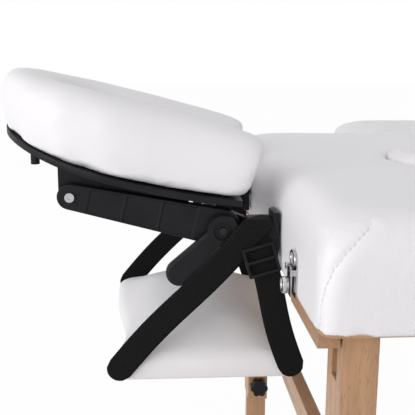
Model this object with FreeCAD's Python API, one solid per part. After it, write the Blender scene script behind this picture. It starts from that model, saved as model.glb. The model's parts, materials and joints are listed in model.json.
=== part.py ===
"""Folding massage table with face cradle, hanging arm shelf and side armrests.

Millimetres, +Z up, +X towards the foot end. The two halves fold like a suitcase
about a hinge line under the middle of the table. Every piece is drawn about that
line, at X = 0, and the whole is moved so that the origin lies on the floor under
the middle of the object's box.
"""
import FreeCAD, Part
import math
import os

from FreeCAD import Vector

# Table top
TABLE_LENGTH = 1860.0
TABLE_WIDTH = 620.0
TABLE_HEIGHT = 620.0
FOAM_HEIGHT = 55.0
DECK_THICKNESS = 5.0
RAIL_DEPTH = 45.0
RAIL_THICKNESS = 14.0
END_RAIL_THICKNESS = 20.0
RAIL_EXPOSED = 16.0
END_RAIL_ARCH = 360.0
COVER_THICKNESS = 3.0
FOLD_GAP = 2.0
CORNER_RADIUS = 16.0
EDGE_ROLL = 38.0
CROWN_HEIGHT = 2.0
CORNER_CHORDS = 4
ROLL_CHORDS = 4
CROWN_SHARES = (0.35, 0.8)
CORNER_LIMIT = 0.45
FLAT_VOLUME = 1e-3
TOUCH = 1e-6

# Breathing hole and its plug
FACE_HOLE_RADIUS = 76.0
FACE_HOLE_FROM_END = 168.0
FACE_HOLE_LEDGE = 12.0
PLUG_CLEARANCE = 0.5
PLUG_DOME = 7.0

# Fold hinges
HINGE_LEAF = 2.5
HINGE_BARREL_RADIUS = 3.0
HINGE_PIN_RADIUS = 1.5
HINGE_LENGTH = 70.0
HINGE_SPREAD = 380.0
HINGE_KNUCKLES = 3
HINGE_DROP = 0.3
HINGE_TAB = 1.0

# Legs: two boards with the sliding extension between them
LEG_WIDTH = 34.0
LEG_BOARD = 14.0
EXTENSION_BOARD = 16.0
SLIDE_CLEARANCE = 0.4
LEG_SIDE_GAP = 1.5
LEG_END_GAP = 2.0
LEG_STAGGER_GAP = 2.5
LEG_BOTTOM = 140.0
EXTENSION_TOP = 460.0
EXTENSION_TRAVEL = 220.0
PIVOT_RADIUS = 5.0
RUNNING_CLEARANCE = 0.1
CROSSBAR_HEIGHT = 330.0
CROSSBAR_DEPTH = 32.0
CROSSBAR_THICKNESS = 16.0
KNOB_HEIGHTS = (170.0, 225.0)
KNOB_BOLT_RADIUS = 4.0
KNOB_RADIUS = 15.0
KNOB_GRIP = 14.0
KNOB_COLLAR = 5.0
KNOB_COLLAR_SHARE = 0.62
KNOB_DIP_SHARE = 0.8
KNOB_FLATS = 18
FOOT_HEIGHT = 28.0
FOOT_WALL = 2.5
FOOT_SOLE = 8.0

# Face cradle, measured from the head end of the table and from the table top
PEG_RADIUS = 9.0
PEG_SPREAD = 200.0
PEG_DROP = 78.0
PEG_LENGTH = 80.0
PEG_CLEARANCE = 0.3
FLANGE_GAP = 3.0
FLANGE_THICKNESS = 7.0
FLANGE_WIDTH = 28.0
FLANGE_HEIGHT = 52.0
FLANGE_TOP_DROP = 38.0
BASE_WIDTH = 276.0
HEEL_DROP = 60.0
HEEL_MIDDLE_DROP = 76.0
STRAP_POST = 30.0
STRAP_POST_DROP = 46.0
STRAP_POST_HEIGHT = 34.0
CAM_REACH = 64.0
CAM_DROP = 58.0
LUG_RADIUS = 17.0
LUG_HEEL_RADIUS = 12.0
LUG_THICKNESS = 12.0
TUBE_RADIUS = 14.0
CAM_BOLT_RADIUS = 4.0
CAM_NUT_RADIUS = 8.8
FRONT_PIVOT_REACH = 230.0
FRONT_PIVOT_DROP = 21.0
ARM_THICKNESS = 14.0
ARM_FRONT_RADIUS = 14.0
ARM_REAR_RADIUS = 21.0
ARM_SPREAD = 224.0
ARM_POCKET = 1.2
ARM_POCKETS = 3
ARM_PLAIN_SHARE = 1.4
SIDE_CLEARANCE = 0.4
BRACKET_THICKNESS = 8.0
SCREW_RADIUS = 3.0
SCREW_HEAD_RADIUS = 5.2
SCREW_HEAD = 3.0
LEVER_LENGTH = 67.0
LEVER_WIDTH = 30.0
LEVER_THICKNESS = 12.0
LEVER_BOSS_RADIUS = 17.0
LEVER_DISH_RADIUS = 10.5
LEVER_DROP_ANGLE = 45.0
TILT_UP = 10.0
TILT_DOWN = 2.0

# Platform and face cushion, placed from the head end and the table top
TRAY_REAR = 42.0
TRAY_REAR_DROP = 33.0
TRAY_REAR_SLOPE = 5.7
TRAY_LENGTH = 277.0
TRAY_WIDTH = 262.0
TRAY_LIMB = 82.0
TRAY_THICKNESS = 7.0
TRAY_CURVE_RADIUS = 900.0
NUB_RADIUS = 5.0
NUB_HEIGHT = 8.0
NUB_FROM_FRONT = 47.0
NUB_SPREAD = 178.0
BRACKET_LENGTH = 130.0
TONGUE_WALL = 9.7
TONGUE_MARGIN = 4.0
TONGUE_RISE = 14.0
CUSHION_REAR = 35.0
CUSHION_LENGTH = 291.0
CUSHION_WIDTH = 274.0
CUSHION_LIMB = 92.0
CUSHION_HEIGHT = 92.0
CUSHION_CREST = 250.0
CUSHION_FALL = 400.0
CUSHION_LEAN = 0.42
CUSHION_TURNS = 8
LIMB_SIZES = ((0.0, 0.84), (0.03, 0.95), (0.12, 1.0), (0.58, 1.0))
CUSHION_ROLL = 40.0
CUSHION_FOOT_ROLL = 18.0
CUSHION_GAP = 0.4
CUSHION_SEAT = 0.9

# Hanging arm shelf
STRAP_WIDTH = 30.0
STRAP_THICKNESS = 2.0
STRAP_PEAK = 32.0
STRAP_PEAK_DROP = 56.0
STRAP_FRONT = 178.0
STRAP_REAR = -14.0
STRAP_FOOT_DROP = 214.0
SHELF_FRONT = 196.0
SHELF_DEPTH = 226.0
SHELF_DROP = 166.0
SHELF_HEIGHT = 68.0
SHELF_ROLL = 18.0
SHELF_CROWN = 32.0
BUCKLE_LENGTH = 34.0
BUCKLE_BAR = 3.0
BUCKLE_THICKNESS = 4.0

# Side armrests
ARMREST_LENGTH = 560.0
ARMREST_WIDTH = 150.0
ARMREST_HEIGHT = 52.0
ARMREST_RISE = 0.0
ARMREST_FROM_END = 215.0
ARMREST_ROLL = 22.0
ARMREST_BOARD = 9.0
ARMREST_PEG_HALF = 8.0
ARMREST_PEG_SPREAD = 360.0
ARMREST_GAP = 1.0

# Case latches
LATCH_INSET = 101.0
LATCH_WIDTH = 26.0
LATCH_HEIGHT = 34.0
LATCH_PLATE = 1.5
LATCH_BARREL_RADIUS = 3.0
LATCH_PIN_RADIUS = 1.2
CATCH_HEIGHT = 16.0
LATCH_LIFT = 1.0

# Places worked out from the sizes above
LATCH_SPREAD = TABLE_WIDTH - 2 * LATCH_INSET
HALF_LENGTH = TABLE_LENGTH / 2
HALF_WIDTH = TABLE_WIDTH / 2
DECK_TOP = TABLE_HEIGHT - FOAM_HEIGHT
RAIL_TOP = DECK_TOP - DECK_THICKNESS
RAIL_BOTTOM = RAIL_TOP - RAIL_DEPTH
FRAME_BOTTOM = RAIL_BOTTOM - RAIL_EXPOSED
RAIL_OUTSIDE = HALF_WIDTH - COVER_THICKNESS
RAIL_INSIDE = RAIL_OUTSIDE - RAIL_THICKNESS
RAIL_MIDDLE = (RAIL_TOP + RAIL_BOTTOM) / 2
HINGE_HEIGHT = FRAME_BOTTOM - HINGE_BARREL_RADIUS - HINGE_DROP
END_RAIL_OUTSIDE = HALF_LENGTH - COVER_THICKNESS
END_RAIL_INSIDE = END_RAIL_OUTSIDE - END_RAIL_THICKNESS
LEG_PIVOT = END_RAIL_INSIDE - LEG_END_GAP - LEG_WIDTH / 2
LEG_PACK = 2 * LEG_BOARD + EXTENSION_BOARD + 2 * SLIDE_CLEARANCE
HEAD_LEG_OUTSIDE = RAIL_INSIDE - LEG_SIDE_GAP
FOOT_LEG_OUTSIDE = HEAD_LEG_OUTSIDE - LEG_PACK - LEG_STAGGER_GAP
HEAD, FOOT = -1, 1
NEAR, FAR = -1, 1
SIDE_NAMES = {NEAR: "near", FAR: "far"}

pieces = {}


def keep(name, *solids):
    """Stores the solids of one named piece."""
    pieces[name] = solids[0] if len(solids) == 1 else Part.makeCompound(list(solids))


def block(x0, x1, y0, y1, z0, z1):
    """A box between two corners given in any order."""
    low = Vector(min(x0, x1), min(y0, y1), min(z0, z1))
    return Part.makeBox(abs(x1 - x0), abs(y1 - y0), abs(z1 - z0), low)


def rod_y(radius, x, z, y0, y1):
    """A round bar across the table."""
    return Part.makeCylinder(radius, abs(y1 - y0), Vector(x, min(y0, y1), z), Vector(0, 1, 0))


def rod_x(radius, y, z, x0, x1):
    """A round bar along the table."""
    return Part.makeCylinder(radius, abs(x1 - x0), Vector(min(x0, x1), y, z), Vector(1, 0, 0))


def rod_z(radius, x, y, z0, z1):
    """An upright round bar."""
    return Part.makeCylinder(radius, abs(z1 - z0), Vector(x, y, min(z0, z1)))


def slab_y(edges, y0, y1):
    """A closed outline in an XZ plane, given a thickness across the table."""
    solid = Part.Face(Part.Wire(Part.__sortEdges__(edges))).extrude(Vector(0, y1 - y0, 0))
    return Part.makeSolid(Part.Shell(solid.Faces)) if solid.ShapeType != "Solid" else solid


def polygon_y(points, y0, y1):
    """A straight-sided plate in an XZ plane."""
    corners = [Vector(x, y0, z) for x, z in points]
    wire = Part.makePolygon(corners + corners[:1])
    return Part.Face(wire).extrude(Vector(0, y1 - y0, 0))


def tapered_bar(start, end, start_radius, end_radius, y0, y1):
    """A bar with two round ends of different size, joined by tangent flanks."""
    along = Vector(end[0] - start[0], 0, end[1] - start[1])
    lean = math.acos((start_radius - end_radius) / along.Length)
    heading = math.atan2(along.z, along.x)

    def on_circle(centre, radius, angle):
        return Vector(centre[0] + radius * math.cos(angle), y0, centre[1] + radius * math.sin(angle))

    left, right = heading + lean, heading - lean
    edges = [
        Part.LineSegment(on_circle(start, start_radius, left), on_circle(end, end_radius, left)).toShape(),
        Part.Arc(
            on_circle(end, end_radius, left),
            on_circle(end, end_radius, heading),
            on_circle(end, end_radius, right),
        ).toShape(),
        Part.LineSegment(on_circle(end, end_radius, right), on_circle(start, start_radius, right)).toShape(),
        Part.Arc(
            on_circle(start, start_radius, right),
            on_circle(start, start_radius, heading + math.pi),
            on_circle(start, start_radius, left),
        ).toShape(),
    ]
    return slab_y(edges, y0, y1)


def rounded_outline(x0, x1, y0, y1, z, radius):
    """A rectangle with round corners, at one height."""
    x0, x1 = min(x0, x1), max(x0, x1)
    y0, y1 = min(y0, y1), max(y0, y1)
    mid = radius * (1 - math.sqrt(0.5))
    corners = [
        ((x1 - radius, y0), (x1 - mid, y0 + mid), (x1, y0 + radius)),
        ((x1, y1 - radius), (x1 - mid, y1 - mid), (x1 - radius, y1)),
        ((x0 + radius, y1), (x0 + mid, y1 - mid), (x0, y1 - radius)),
        ((x0, y0 + radius), (x0 + mid, y0 + mid), (x0 + radius, y0)),
    ]
    edges = []
    for number, corner in enumerate(corners):
        start, middle, end = (Vector(x, y, z) for x, y in corner)
        following = Vector(*corners[(number + 1) % 4][0], z)
        edges.append(Part.Arc(start, middle, end).toShape())
        edges.append(Part.LineSegment(end, following).toShape())
    return Part.Wire(edges)


def stacked(rings):
    """A solid between rings of points: quads where four points lie flat, else triangles."""
    outlines = [rings[0], rings[-1]]
    for low, high in zip(rings, rings[1:]):
        for i in range(len(low)):
            a, b, c, d = low[i - 1], low[i], high[i], high[i - 1]
            flat = abs((b - a).cross(c - a).dot(d - a)) < FLAT_VOLUME
            outlines += [[a, b, c, d]] if flat else [[a, b, c], [a, c, d]]
    solid = Part.Solid(Part.Shell([Part.Face(Part.makePolygon(ring + ring[:1])) for ring in outlines]))
    if solid.Volume < 0:
        solid.reverse()
    return solid


def soft_outline(x0, x1, y0, y1, z, radius):
    """The points of a rectangle whose round corners are chords, which keeps the sides of a pad flat."""
    points = []
    for turn, (x, y) in enumerate(((x1, y1), (x0, y1), (x0, y0), (x1, y0))):
        centre_x = x - radius if x == x1 else x + radius
        centre_y = y - radius if y == y1 else y + radius
        for step in range(CORNER_CHORDS + 1):
            angle = math.radians(90) * (turn + step / CORNER_CHORDS)
            points.append(Vector(centre_x + radius * math.cos(angle), centre_y + radius * math.sin(angle), z))
    return points


def cushion(x0, x1, y0, y1, bottom, top, corner, roll, crown, fold_side=None):
    """A padded block: upright sides, a rolled upper edge and a crowned top.

    The roll is a quarter circle and the crown a shallow dome over the rest. On the
    side named by fold_side, which meets its twin at the fold, the edge stays upright.
    """
    lips = [(0.0, bottom)]
    for step in range(ROLL_CHORDS + 1):
        turn = math.radians(90.0) * step / (ROLL_CHORDS + 0.5)
        lips.append((roll * (1 - math.cos(turn)), top - crown - roll + roll * math.sin(turn)))
    reach = min(x1 - x0, y1 - y0) / 2 - roll
    for share in CROWN_SHARES:
        lips.append((roll + reach * share, top - crown * (1 - share / CROWN_SHARES[-1]) ** 2))
    rings = []
    for inset, height in lips:
        low = x0 + (0 if fold_side == "low" else inset)
        high = x1 - (0 if fold_side == "high" else inset)
        radius = min(corner + inset, corner + roll)
        radius = min(radius, CORNER_LIMIT * min(high - low, y1 - y0 - 2 * inset))
        rings.append(soft_outline(low, high, y0 + inset, y1 - inset, height, radius))
    return stacked(rings)


def half_span(side, near_fold, far_end):
    """The two X values of a stretch of one half, in rising order."""
    return tuple(sorted((side * near_fold, side * far_end)))


# One half of the table


def build_top(side, name):
    """Upholstery, deck and frame of one half."""
    low, high = half_span(side, FOLD_GAP / 2, HALF_LENGTH)
    fold_side = "high" if side == HEAD else "low"
    pad = cushion(
        low, high, -HALF_WIDTH, HALF_WIDTH, RAIL_BOTTOM, TABLE_HEIGHT,
        CORNER_RADIUS, EDGE_ROLL, CROWN_HEIGHT, fold_side,
    )
    frame_fold = FOLD_GAP / 2 + COVER_THICKNESS
    inner_low, inner_high = half_span(side, frame_fold, END_RAIL_OUTSIDE)
    well = rounded_outline(
        inner_low, inner_high, -RAIL_OUTSIDE, RAIL_OUTSIDE, RAIL_BOTTOM, CORNER_RADIUS - COVER_THICKNESS
    )
    pad = pad.cut(Part.Face(well).extrude(Vector(0, 0, DECK_TOP - RAIL_BOTTOM)))
    deck = Part.Face(well).extrude(Vector(0, 0, DECK_THICKNESS))
    deck.translate(Vector(0, 0, RAIL_TOP - RAIL_BOTTOM))
    frame = Part.Face(well).extrude(Vector(0, 0, RAIL_DEPTH))
    side_rails = [
        frame.common(block(inner_low, inner_high, y * RAIL_INSIDE, y * RAIL_OUTSIDE, RAIL_BOTTOM, RAIL_TOP))
        for y in (NEAR, FAR)
    ]
    rail_span = (-RAIL_INSIDE, RAIL_INSIDE, FRAME_BOTTOM, RAIL_TOP)
    end_rail = block(side * END_RAIL_INSIDE, side * END_RAIL_OUTSIDE, *rail_span)
    arch = block(
        side * END_RAIL_INSIDE, side * END_RAIL_OUTSIDE, -END_RAIL_ARCH / 2, END_RAIL_ARCH / 2,
        FRAME_BOTTOM, RAIL_BOTTOM,
    )
    end_rail = end_rail.cut(arch)
    mid_rail = block(side * frame_fold, side * (frame_fold + RAIL_THICKNESS), *rail_span)
    return pad, deck, side_rails, end_rail, mid_rail


def build_legs(side, name, outside):
    """The leg pair of one half: boards, extensions, feet, knobs, crossbar and pivots."""
    x = side * LEG_PIVOT
    half = LEG_WIDTH / 2
    side_rails_holes = []
    bolts = []
    carriage_bolts = []
    for hand in (NEAR, FAR):
        label = f"{name}_leg_{SIDE_NAMES[hand]}"
        outer = (hand * outside, hand * (outside - LEG_BOARD))
        inner = (hand * (outside - LEG_PACK + LEG_BOARD), hand * (outside - LEG_PACK))
        middle = hand * (outside - LEG_PACK / 2)
        boards = []
        for y0, y1 in (outer, inner):
            board = rod_y(half, x, RAIL_MIDDLE, y0, y1).fuse(
                block(x - half, x + half, y0, y1, LEG_BOTTOM, RAIL_MIDDLE)
            ).removeSplitter()
            board = board.cut(rod_y(PIVOT_RADIUS + RUNNING_CLEARANCE, x, RAIL_MIDDLE, y0, y1))
            for height in KNOB_HEIGHTS:
                board = board.cut(square_bar(KNOB_BOLT_RADIUS + RUNNING_CLEARANCE, x, height, y0, y1))
            boards.append(board)
        keep(label, *boards)
        y0, y1 = middle - EXTENSION_BOARD / 2, middle + EXTENSION_BOARD / 2
        extension = block(x - half, x + half, y0, y1, FOOT_SOLE, EXTENSION_TOP)
        slot_half = KNOB_BOLT_RADIUS + SLIDE_CLEARANCE
        slot_top = max(KNOB_HEIGHTS) + EXTENSION_TRAVEL + slot_half
        slot = block(x - slot_half, x + slot_half, y0, y1, min(KNOB_HEIGHTS) - slot_half, slot_top)
        extension = extension.cut(slot)
        keep(f"{label}_extension", extension)
        cap = block(
            x - half - FOOT_WALL, x + half + FOOT_WALL, y0 - FOOT_WALL, y1 + FOOT_WALL, 0, FOOT_HEIGHT
        ).cut(block(x - half, x + half, y0, y1, FOOT_SOLE, FOOT_HEIGHT))
        cap = cap.makeFillet(FOOT_WALL - SLIDE_CLEARANCE, [e for e in cap.Edges if is_upright(e, x, middle)])
        keep(f"{label}_foot", cap)
        for number, height in enumerate(KNOB_HEIGHTS):
            keep(f"{label}_knob_{number + 1}", build_knob(x, height, hand, outside))
            carriage_bolts.append(carriage_bolt(x, height, hand, outside))
        bolt_end = outside - LEG_PACK - LEG_SIDE_GAP
        bolts.append(rod_y(PIVOT_RADIUS, x, RAIL_MIDDLE, hand * RAIL_OUTSIDE, hand * bolt_end))
        side_rails_holes.append(
            rod_y(PIVOT_RADIUS + RUNNING_CLEARANCE, x, RAIL_MIDDLE, hand * RAIL_OUTSIDE, hand * RAIL_INSIDE)
        )
    reach = outside - LEG_PACK
    crossbar = block(
        x - CROSSBAR_THICKNESS / 2, x + CROSSBAR_THICKNESS / 2, -reach, reach,
        CROSSBAR_HEIGHT - CROSSBAR_DEPTH / 2, CROSSBAR_HEIGHT + CROSSBAR_DEPTH / 2,
    )
    keep(f"{name}_leg_crossbar", crossbar)
    keep(f"{name}_leg_pivots", *bolts)
    keep(f"{name}_leg_bolts", *carriage_bolts)
    return side_rails_holes


def is_upright(edge, x, y):
    """True for the outer upright corner edges of a foot cap."""
    box = edge.BoundBox
    upright = box.ZLength > FOOT_HEIGHT / 2 and box.XLength < TOUCH and box.YLength < TOUCH
    return upright and abs(box.Center.x - x) > LEG_WIDTH / 2 + FOOT_WALL / 2


def square_bar(half, x, height, y0, y1):
    """A square bar across the table."""
    return block(x - half, x + half, y0, y1, height - half, height + half)


def carriage_bolt(x, height, hand, outside):
    """A bolt with a square shank through both boards and a round end for its knob."""
    inside = hand * (outside - LEG_PACK)
    shank = square_bar(KNOB_BOLT_RADIUS, x, height, hand * outside, inside)
    tip = inside - hand * (KNOB_COLLAR + KNOB_GRIP / 2)
    return shank.fuse(rod_y(KNOB_BOLT_RADIUS, x, height, inside, tip))


def build_knob(x, height, hand, outside):
    """A lobed hand knob on the inside of a leg, with a blind hole for its bolt."""
    inside = hand * (outside - LEG_PACK)
    start = inside - hand * SLIDE_CLEARANCE
    collar_end = inside - hand * KNOB_COLLAR
    grip_end = collar_end - hand * KNOB_GRIP
    neck = KNOB_RADIUS * KNOB_COLLAR_SHARE
    collar = lobed_prism(x, height, neck, neck, start, collar_end)
    grip = lobed_prism(x, height, KNOB_RADIUS, KNOB_RADIUS * KNOB_DIP_SHARE, collar_end, grip_end)
    depth = KNOB_COLLAR + KNOB_GRIP / 2 + SLIDE_CLEARANCE
    hole = rod_y(KNOB_BOLT_RADIUS + RUNNING_CLEARANCE, x, height, inside, inside - hand * depth)
    return collar.fuse(grip).cut(hole)


def lobed_prism(x, height, crest, dip, y0, y1):
    """A bar whose section has six lobes, each of three flats, between a crest and a dip radius."""
    outline = []
    for step in range(KNOB_FLATS):
        angle = 2 * math.pi * (step - 0.5) / KNOB_FLATS
        radius = dip if step % 3 == 2 else crest
        outline.append((x + radius * math.cos(angle), height + radius * math.sin(angle)))
    return polygon_y(outline, y0, y1)


def build_halves():
    """Both halves with their legs, the breathing hole and the holes for the accessories."""
    for side, name, outside in ((HEAD, "head", HEAD_LEG_OUTSIDE), (FOOT, "foot", FOOT_LEG_OUTSIDE)):
        pad, deck, side_rails, end_rail, mid_rail = build_top(side, name)
        holes = build_legs(side, name, outside)
        side_rails = [rail.cut(hole) for rail, hole in zip(side_rails, holes)]
        if side == HEAD:
            hole_x = face_hole_centre()
            pad = pad.cut(rod_z(FACE_HOLE_RADIUS, hole_x, 0, DECK_TOP, TABLE_HEIGHT))
            deck = deck.cut(rod_z(FACE_HOLE_RADIUS - FACE_HOLE_LEDGE, hole_x, 0, RAIL_TOP, DECK_TOP))
            for hand in (NEAR, FAR):
                socket = rod_x(
                    PEG_RADIUS + PEG_CLEARANCE, hand * PEG_SPREAD / 2, TABLE_HEIGHT - PEG_DROP,
                    -HALF_LENGTH, -END_RAIL_INSIDE,
                )
                pad = pad.cut(socket)
                end_rail = end_rail.cut(socket)
            for hand, number in ((NEAR, 0), (FAR, 1)):
                for peg_x in armrest_peg_places():
                    hole = square_bar(
                        ARMREST_PEG_HALF + PEG_CLEARANCE, peg_x, RAIL_MIDDLE,
                        hand * HALF_WIDTH, hand * RAIL_INSIDE,
                    )
                    pad = pad.cut(hole)
                    side_rails[number] = side_rails[number].cut(hole)
        keep(f"{name}_pad", pad)
        keep(f"{name}_deck", deck)
        keep(f"{name}_side_rails", *side_rails)
        keep(f"{name}_end_rail", end_rail)
        keep(f"{name}_mid_rail", mid_rail)


def face_hole_centre():
    """X of the middle of the breathing hole."""
    return -HALF_LENGTH + FACE_HOLE_FROM_END + FACE_HOLE_RADIUS


def build_plug():
    """The crowned plug that fills the breathing hole, turned from its half profile."""
    radius = FACE_HOLE_RADIUS - PLUG_CLEARANCE
    x = face_hole_centre()
    crown = TABLE_HEIGHT + PLUG_DOME
    profile = [
        (0, DECK_TOP), (radius, DECK_TOP), (radius, TABLE_HEIGHT),
        (radius - 2 * PLUG_DOME, crown), (0, crown),
    ]
    wire = Part.makePolygon([Vector(x + r, 0, z) for r, z in profile + profile[:1]])
    keep("face_hole_plug", Part.Face(wire).revolve(Vector(x, 0, 0), Vector(0, 0, 1), 360))


def build_fold_hinges():
    """Two butt hinges under the mid rails, with interleaved knuckles on a pin."""
    leaves = {HEAD: [], FOOT: []}
    pins = []
    reach = FOLD_GAP / 2 + COVER_THICKNESS + RAIL_THICKNESS
    knuckle = HINGE_LENGTH / HINGE_KNUCKLES
    for hand in (NEAR, FAR):
        start = hand * HINGE_SPREAD / 2 - HINGE_LENGTH / 2
        for side in (HEAD, FOOT):
            leaf = block(
                side * HINGE_BARREL_RADIUS, side * reach, start, start + HINGE_LENGTH,
                FRAME_BOTTOM - HINGE_LEAF, FRAME_BOTTOM,
            )
            for number in range(HINGE_KNUCKLES):
                mine = (number % 2 == 0) == (side == HEAD)
                y0 = start + number * knuckle
                if mine:
                    lower = y0 + SLIDE_CLEARANCE / 2
                    upper = y0 + knuckle - SLIDE_CLEARANCE / 2
                    barrel = rod_y(HINGE_BARREL_RADIUS, 0, HINGE_HEIGHT, lower, upper)
                    tab = block(
                        0, side * (HINGE_BARREL_RADIUS + HINGE_TAB), lower, upper,
                        FRAME_BOTTOM - HINGE_LEAF, FRAME_BOTTOM - HINGE_DROP,
                    )
                    leaf = leaf.fuse([barrel, tab])
                else:
                    room = rod_y(
                        HINGE_BARREL_RADIUS + SLIDE_CLEARANCE, 0, HINGE_HEIGHT, y0, y0 + knuckle
                    )
                    leaf = leaf.cut(room)
            bore = rod_y(
                HINGE_PIN_RADIUS + RUNNING_CLEARANCE / 2, 0, HINGE_HEIGHT, start, start + HINGE_LENGTH
            )
            leaves[side].append(leaf.cut(bore).removeSplitter())
        pins.append(rod_y(HINGE_PIN_RADIUS, 0, HINGE_HEIGHT, start, start + HINGE_LENGTH))
    keep("fold_hinge_head_leaves", *leaves[HEAD], *pins)
    keep("fold_hinge_foot_leaves", *leaves[FOOT])


# Face cradle

CRADLE_END = -HALF_LENGTH
CAM = (CRADLE_END - CAM_REACH, TABLE_HEIGHT - CAM_DROP)
FRONT_PIVOT = (CRADLE_END - FRONT_PIVOT_REACH, TABLE_HEIGHT - FRONT_PIVOT_DROP)
ARM_OUTSIDE = ARM_SPREAD / 2 + ARM_THICKNESS
BRACKET_OUTSIDE = ARM_SPREAD / 2 - SIDE_CLEARANCE
LUG_OUTSIDE = BRACKET_OUTSIDE - BRACKET_THICKNESS - SIDE_CLEARANCE


def build_cradle_base():
    """Two end plates with strap posts and pegs, on lugs that a tube round the cam bolt joins."""
    face = CRADLE_END - FLANGE_GAP
    back = face - FLANGE_THICKNESS
    top = TABLE_HEIGHT - FLANGE_TOP_DROP
    bottom = top - FLANGE_HEIGHT
    post_top = TABLE_HEIGHT - STRAP_POST_DROP
    half = BASE_WIDTH / 2
    base = rod_y(TUBE_RADIUS, *CAM, -LUG_OUTSIDE, LUG_OUTSIDE)
    for hand in (NEAR, FAR):
        y0, y1 = sorted((hand * LUG_OUTSIDE, hand * (LUG_OUTSIDE - LUG_THICKNESS)))
        heel_middle = (back, TABLE_HEIGHT - HEEL_MIDDLE_DROP)
        lug = tapered_bar(CAM, heel_middle, LUG_RADIUS, LUG_HEEL_RADIUS, y0, y1)
        lug = lug.cut(block(back, back + 2 * LUG_RADIUS, y0, y1, 0, TABLE_HEIGHT))
        plate = block(back, face, hand * (half - FLANGE_WIDTH), hand * half, bottom, top)
        lips = [e for e in plate.Edges if e.BoundBox.YLength > 1 and e.BoundBox.Center.x < back + TOUCH]
        plate = plate.makeFillet(FLANGE_THICKNESS / 2, lips)
        heel_inside = LUG_OUTSIDE - LUG_THICKNESS - FLANGE_THICKNESS
        heel = block(back, face, hand * heel_inside, hand * half, bottom, TABLE_HEIGHT - HEEL_DROP)
        post = block(
            back - STRAP_POST, back, hand * (ARM_SPREAD / 2), hand * half,
            post_top - STRAP_POST_HEIGHT, post_top,
        )
        nose = [e for e in post.Edges if e.BoundBox.YLength > 1 and e.BoundBox.Center.x < back - 1]
        base = base.fuse([lug, plate, heel, post.makeFillet(STRAP_POST / 4, nose)])
    base = base.cut(rod_y(CAM_BOLT_RADIUS + RUNNING_CLEARANCE, *CAM, -half, half))
    keep("cradle_base", base.removeSplitter())
    pegs = []
    for hand in (NEAR, FAR):
        y, z = hand * PEG_SPREAD / 2, TABLE_HEIGHT - PEG_DROP
        peg = rod_x(PEG_RADIUS, y, z, face, face + PEG_LENGTH)
        tip = [edge for edge in peg.Edges if edge.BoundBox.XMin > face + PEG_LENGTH / 2]
        pegs.append(peg.makeChamfer(PEG_RADIUS / 4, tip))
    keep("cradle_pegs", *pegs)


def build_cradle_arms():
    """Two tapered arms with sunk panels between ribs on the outside."""
    for hand in (NEAR, FAR):
        y0, y1 = sorted((hand * ARM_SPREAD / 2, hand * ARM_OUTSIDE))
        arm = tapered_bar(FRONT_PIVOT, CAM, ARM_FRONT_RADIUS, ARM_REAR_RADIUS, y0, y1)
        arm = arm.cut(rod_y(CAM_BOLT_RADIUS + RUNNING_CLEARANCE, *CAM, y0, y1))
        arm = arm.cut(rod_y(SCREW_RADIUS + RUNNING_CLEARANCE, *FRONT_PIVOT, y0, y1))
        arm = sink_panels(arm, hand)
        keep(f"cradle_arm_{SIDE_NAMES[hand]}", arm)


def sink_panels(arm, hand):
    """Cuts a row of shallow panels into an arm's outer face, with ribs between them."""
    run_x, run_z = CAM[0] - FRONT_PIVOT[0], CAM[1] - FRONT_PIVOT[1]
    length = math.hypot(run_x, run_z)
    first = ARM_FRONT_RADIUS * ARM_PLAIN_SHARE
    last = length - ARM_REAR_RADIUS * ARM_PLAIN_SHARE
    pitch = (last - first) / ARM_POCKETS
    rib = ARM_POCKET * 2

    def corner(along, flank):
        radius = ARM_FRONT_RADIUS + (ARM_REAR_RADIUS - ARM_FRONT_RADIUS) * along / length
        height = flank * (radius - 2 * ARM_POCKET)
        ux, uz = run_x / length, run_z / length
        return (FRONT_PIVOT[0] + ux * along - uz * height, FRONT_PIVOT[1] + uz * along + ux * height)

    floor = hand * (ARM_OUTSIDE - ARM_POCKET)
    for number in range(ARM_POCKETS):
        start = first + number * pitch + rib / 2
        end = start + pitch - rib
        outline = [corner(start, 1), corner(end, 1), corner(end, -1), corner(start, -1)]
        arm = arm.cut(polygon_y(outline, floor, hand * ARM_OUTSIDE))
    return arm


def build_cam():
    """Clamp bolt with its nut on the far side, and the lever on the near side."""
    near_face, far_face = -ARM_OUTSIDE, ARM_OUTSIDE
    boss_end = near_face - LEVER_THICKNESS
    bolt = rod_y(CAM_BOLT_RADIUS, *CAM, boss_end, far_face)
    nut = rod_y(CAM_NUT_RADIUS, *CAM, far_face + SIDE_CLEARANCE, far_face + CAM_BOLT_RADIUS * 2)
    stub = rod_y(CAM_BOLT_RADIUS, *CAM, far_face, far_face + CAM_BOLT_RADIUS)
    keep("cam_bolt", bolt.fuse([stub, nut]).removeSplitter())
    drop = math.radians(180 + LEVER_DROP_ANGLE)
    tip = (CAM[0] + LEVER_LENGTH * math.cos(drop), CAM[1] + LEVER_LENGTH * math.sin(drop))
    start = near_face - SIDE_CLEARANCE
    boss = rod_y(LEVER_BOSS_RADIUS, *CAM, start, boss_end)
    paddle = tapered_bar(CAM, tip, LEVER_WIDTH / 3, LEVER_WIDTH / 2, start - LEVER_THICKNESS / 3, boss_end)
    rim = [e for e in paddle.Edges if abs(e.BoundBox.Center.y - boss_end) < TOUCH]
    paddle = paddle.makeChamfer(LEVER_THICKNESS / 4, rim)
    lever = boss.fuse(paddle)
    lever = lever.cut(rod_y(CAM_BOLT_RADIUS + RUNNING_CLEARANCE, *CAM, start, boss_end))
    dish = rod_y(LEVER_DISH_RADIUS, *CAM, boss_end, boss_end + LEVER_THICKNESS / 4)
    keep("cam_lever", lever.cut(dish).removeSplitter())


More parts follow.
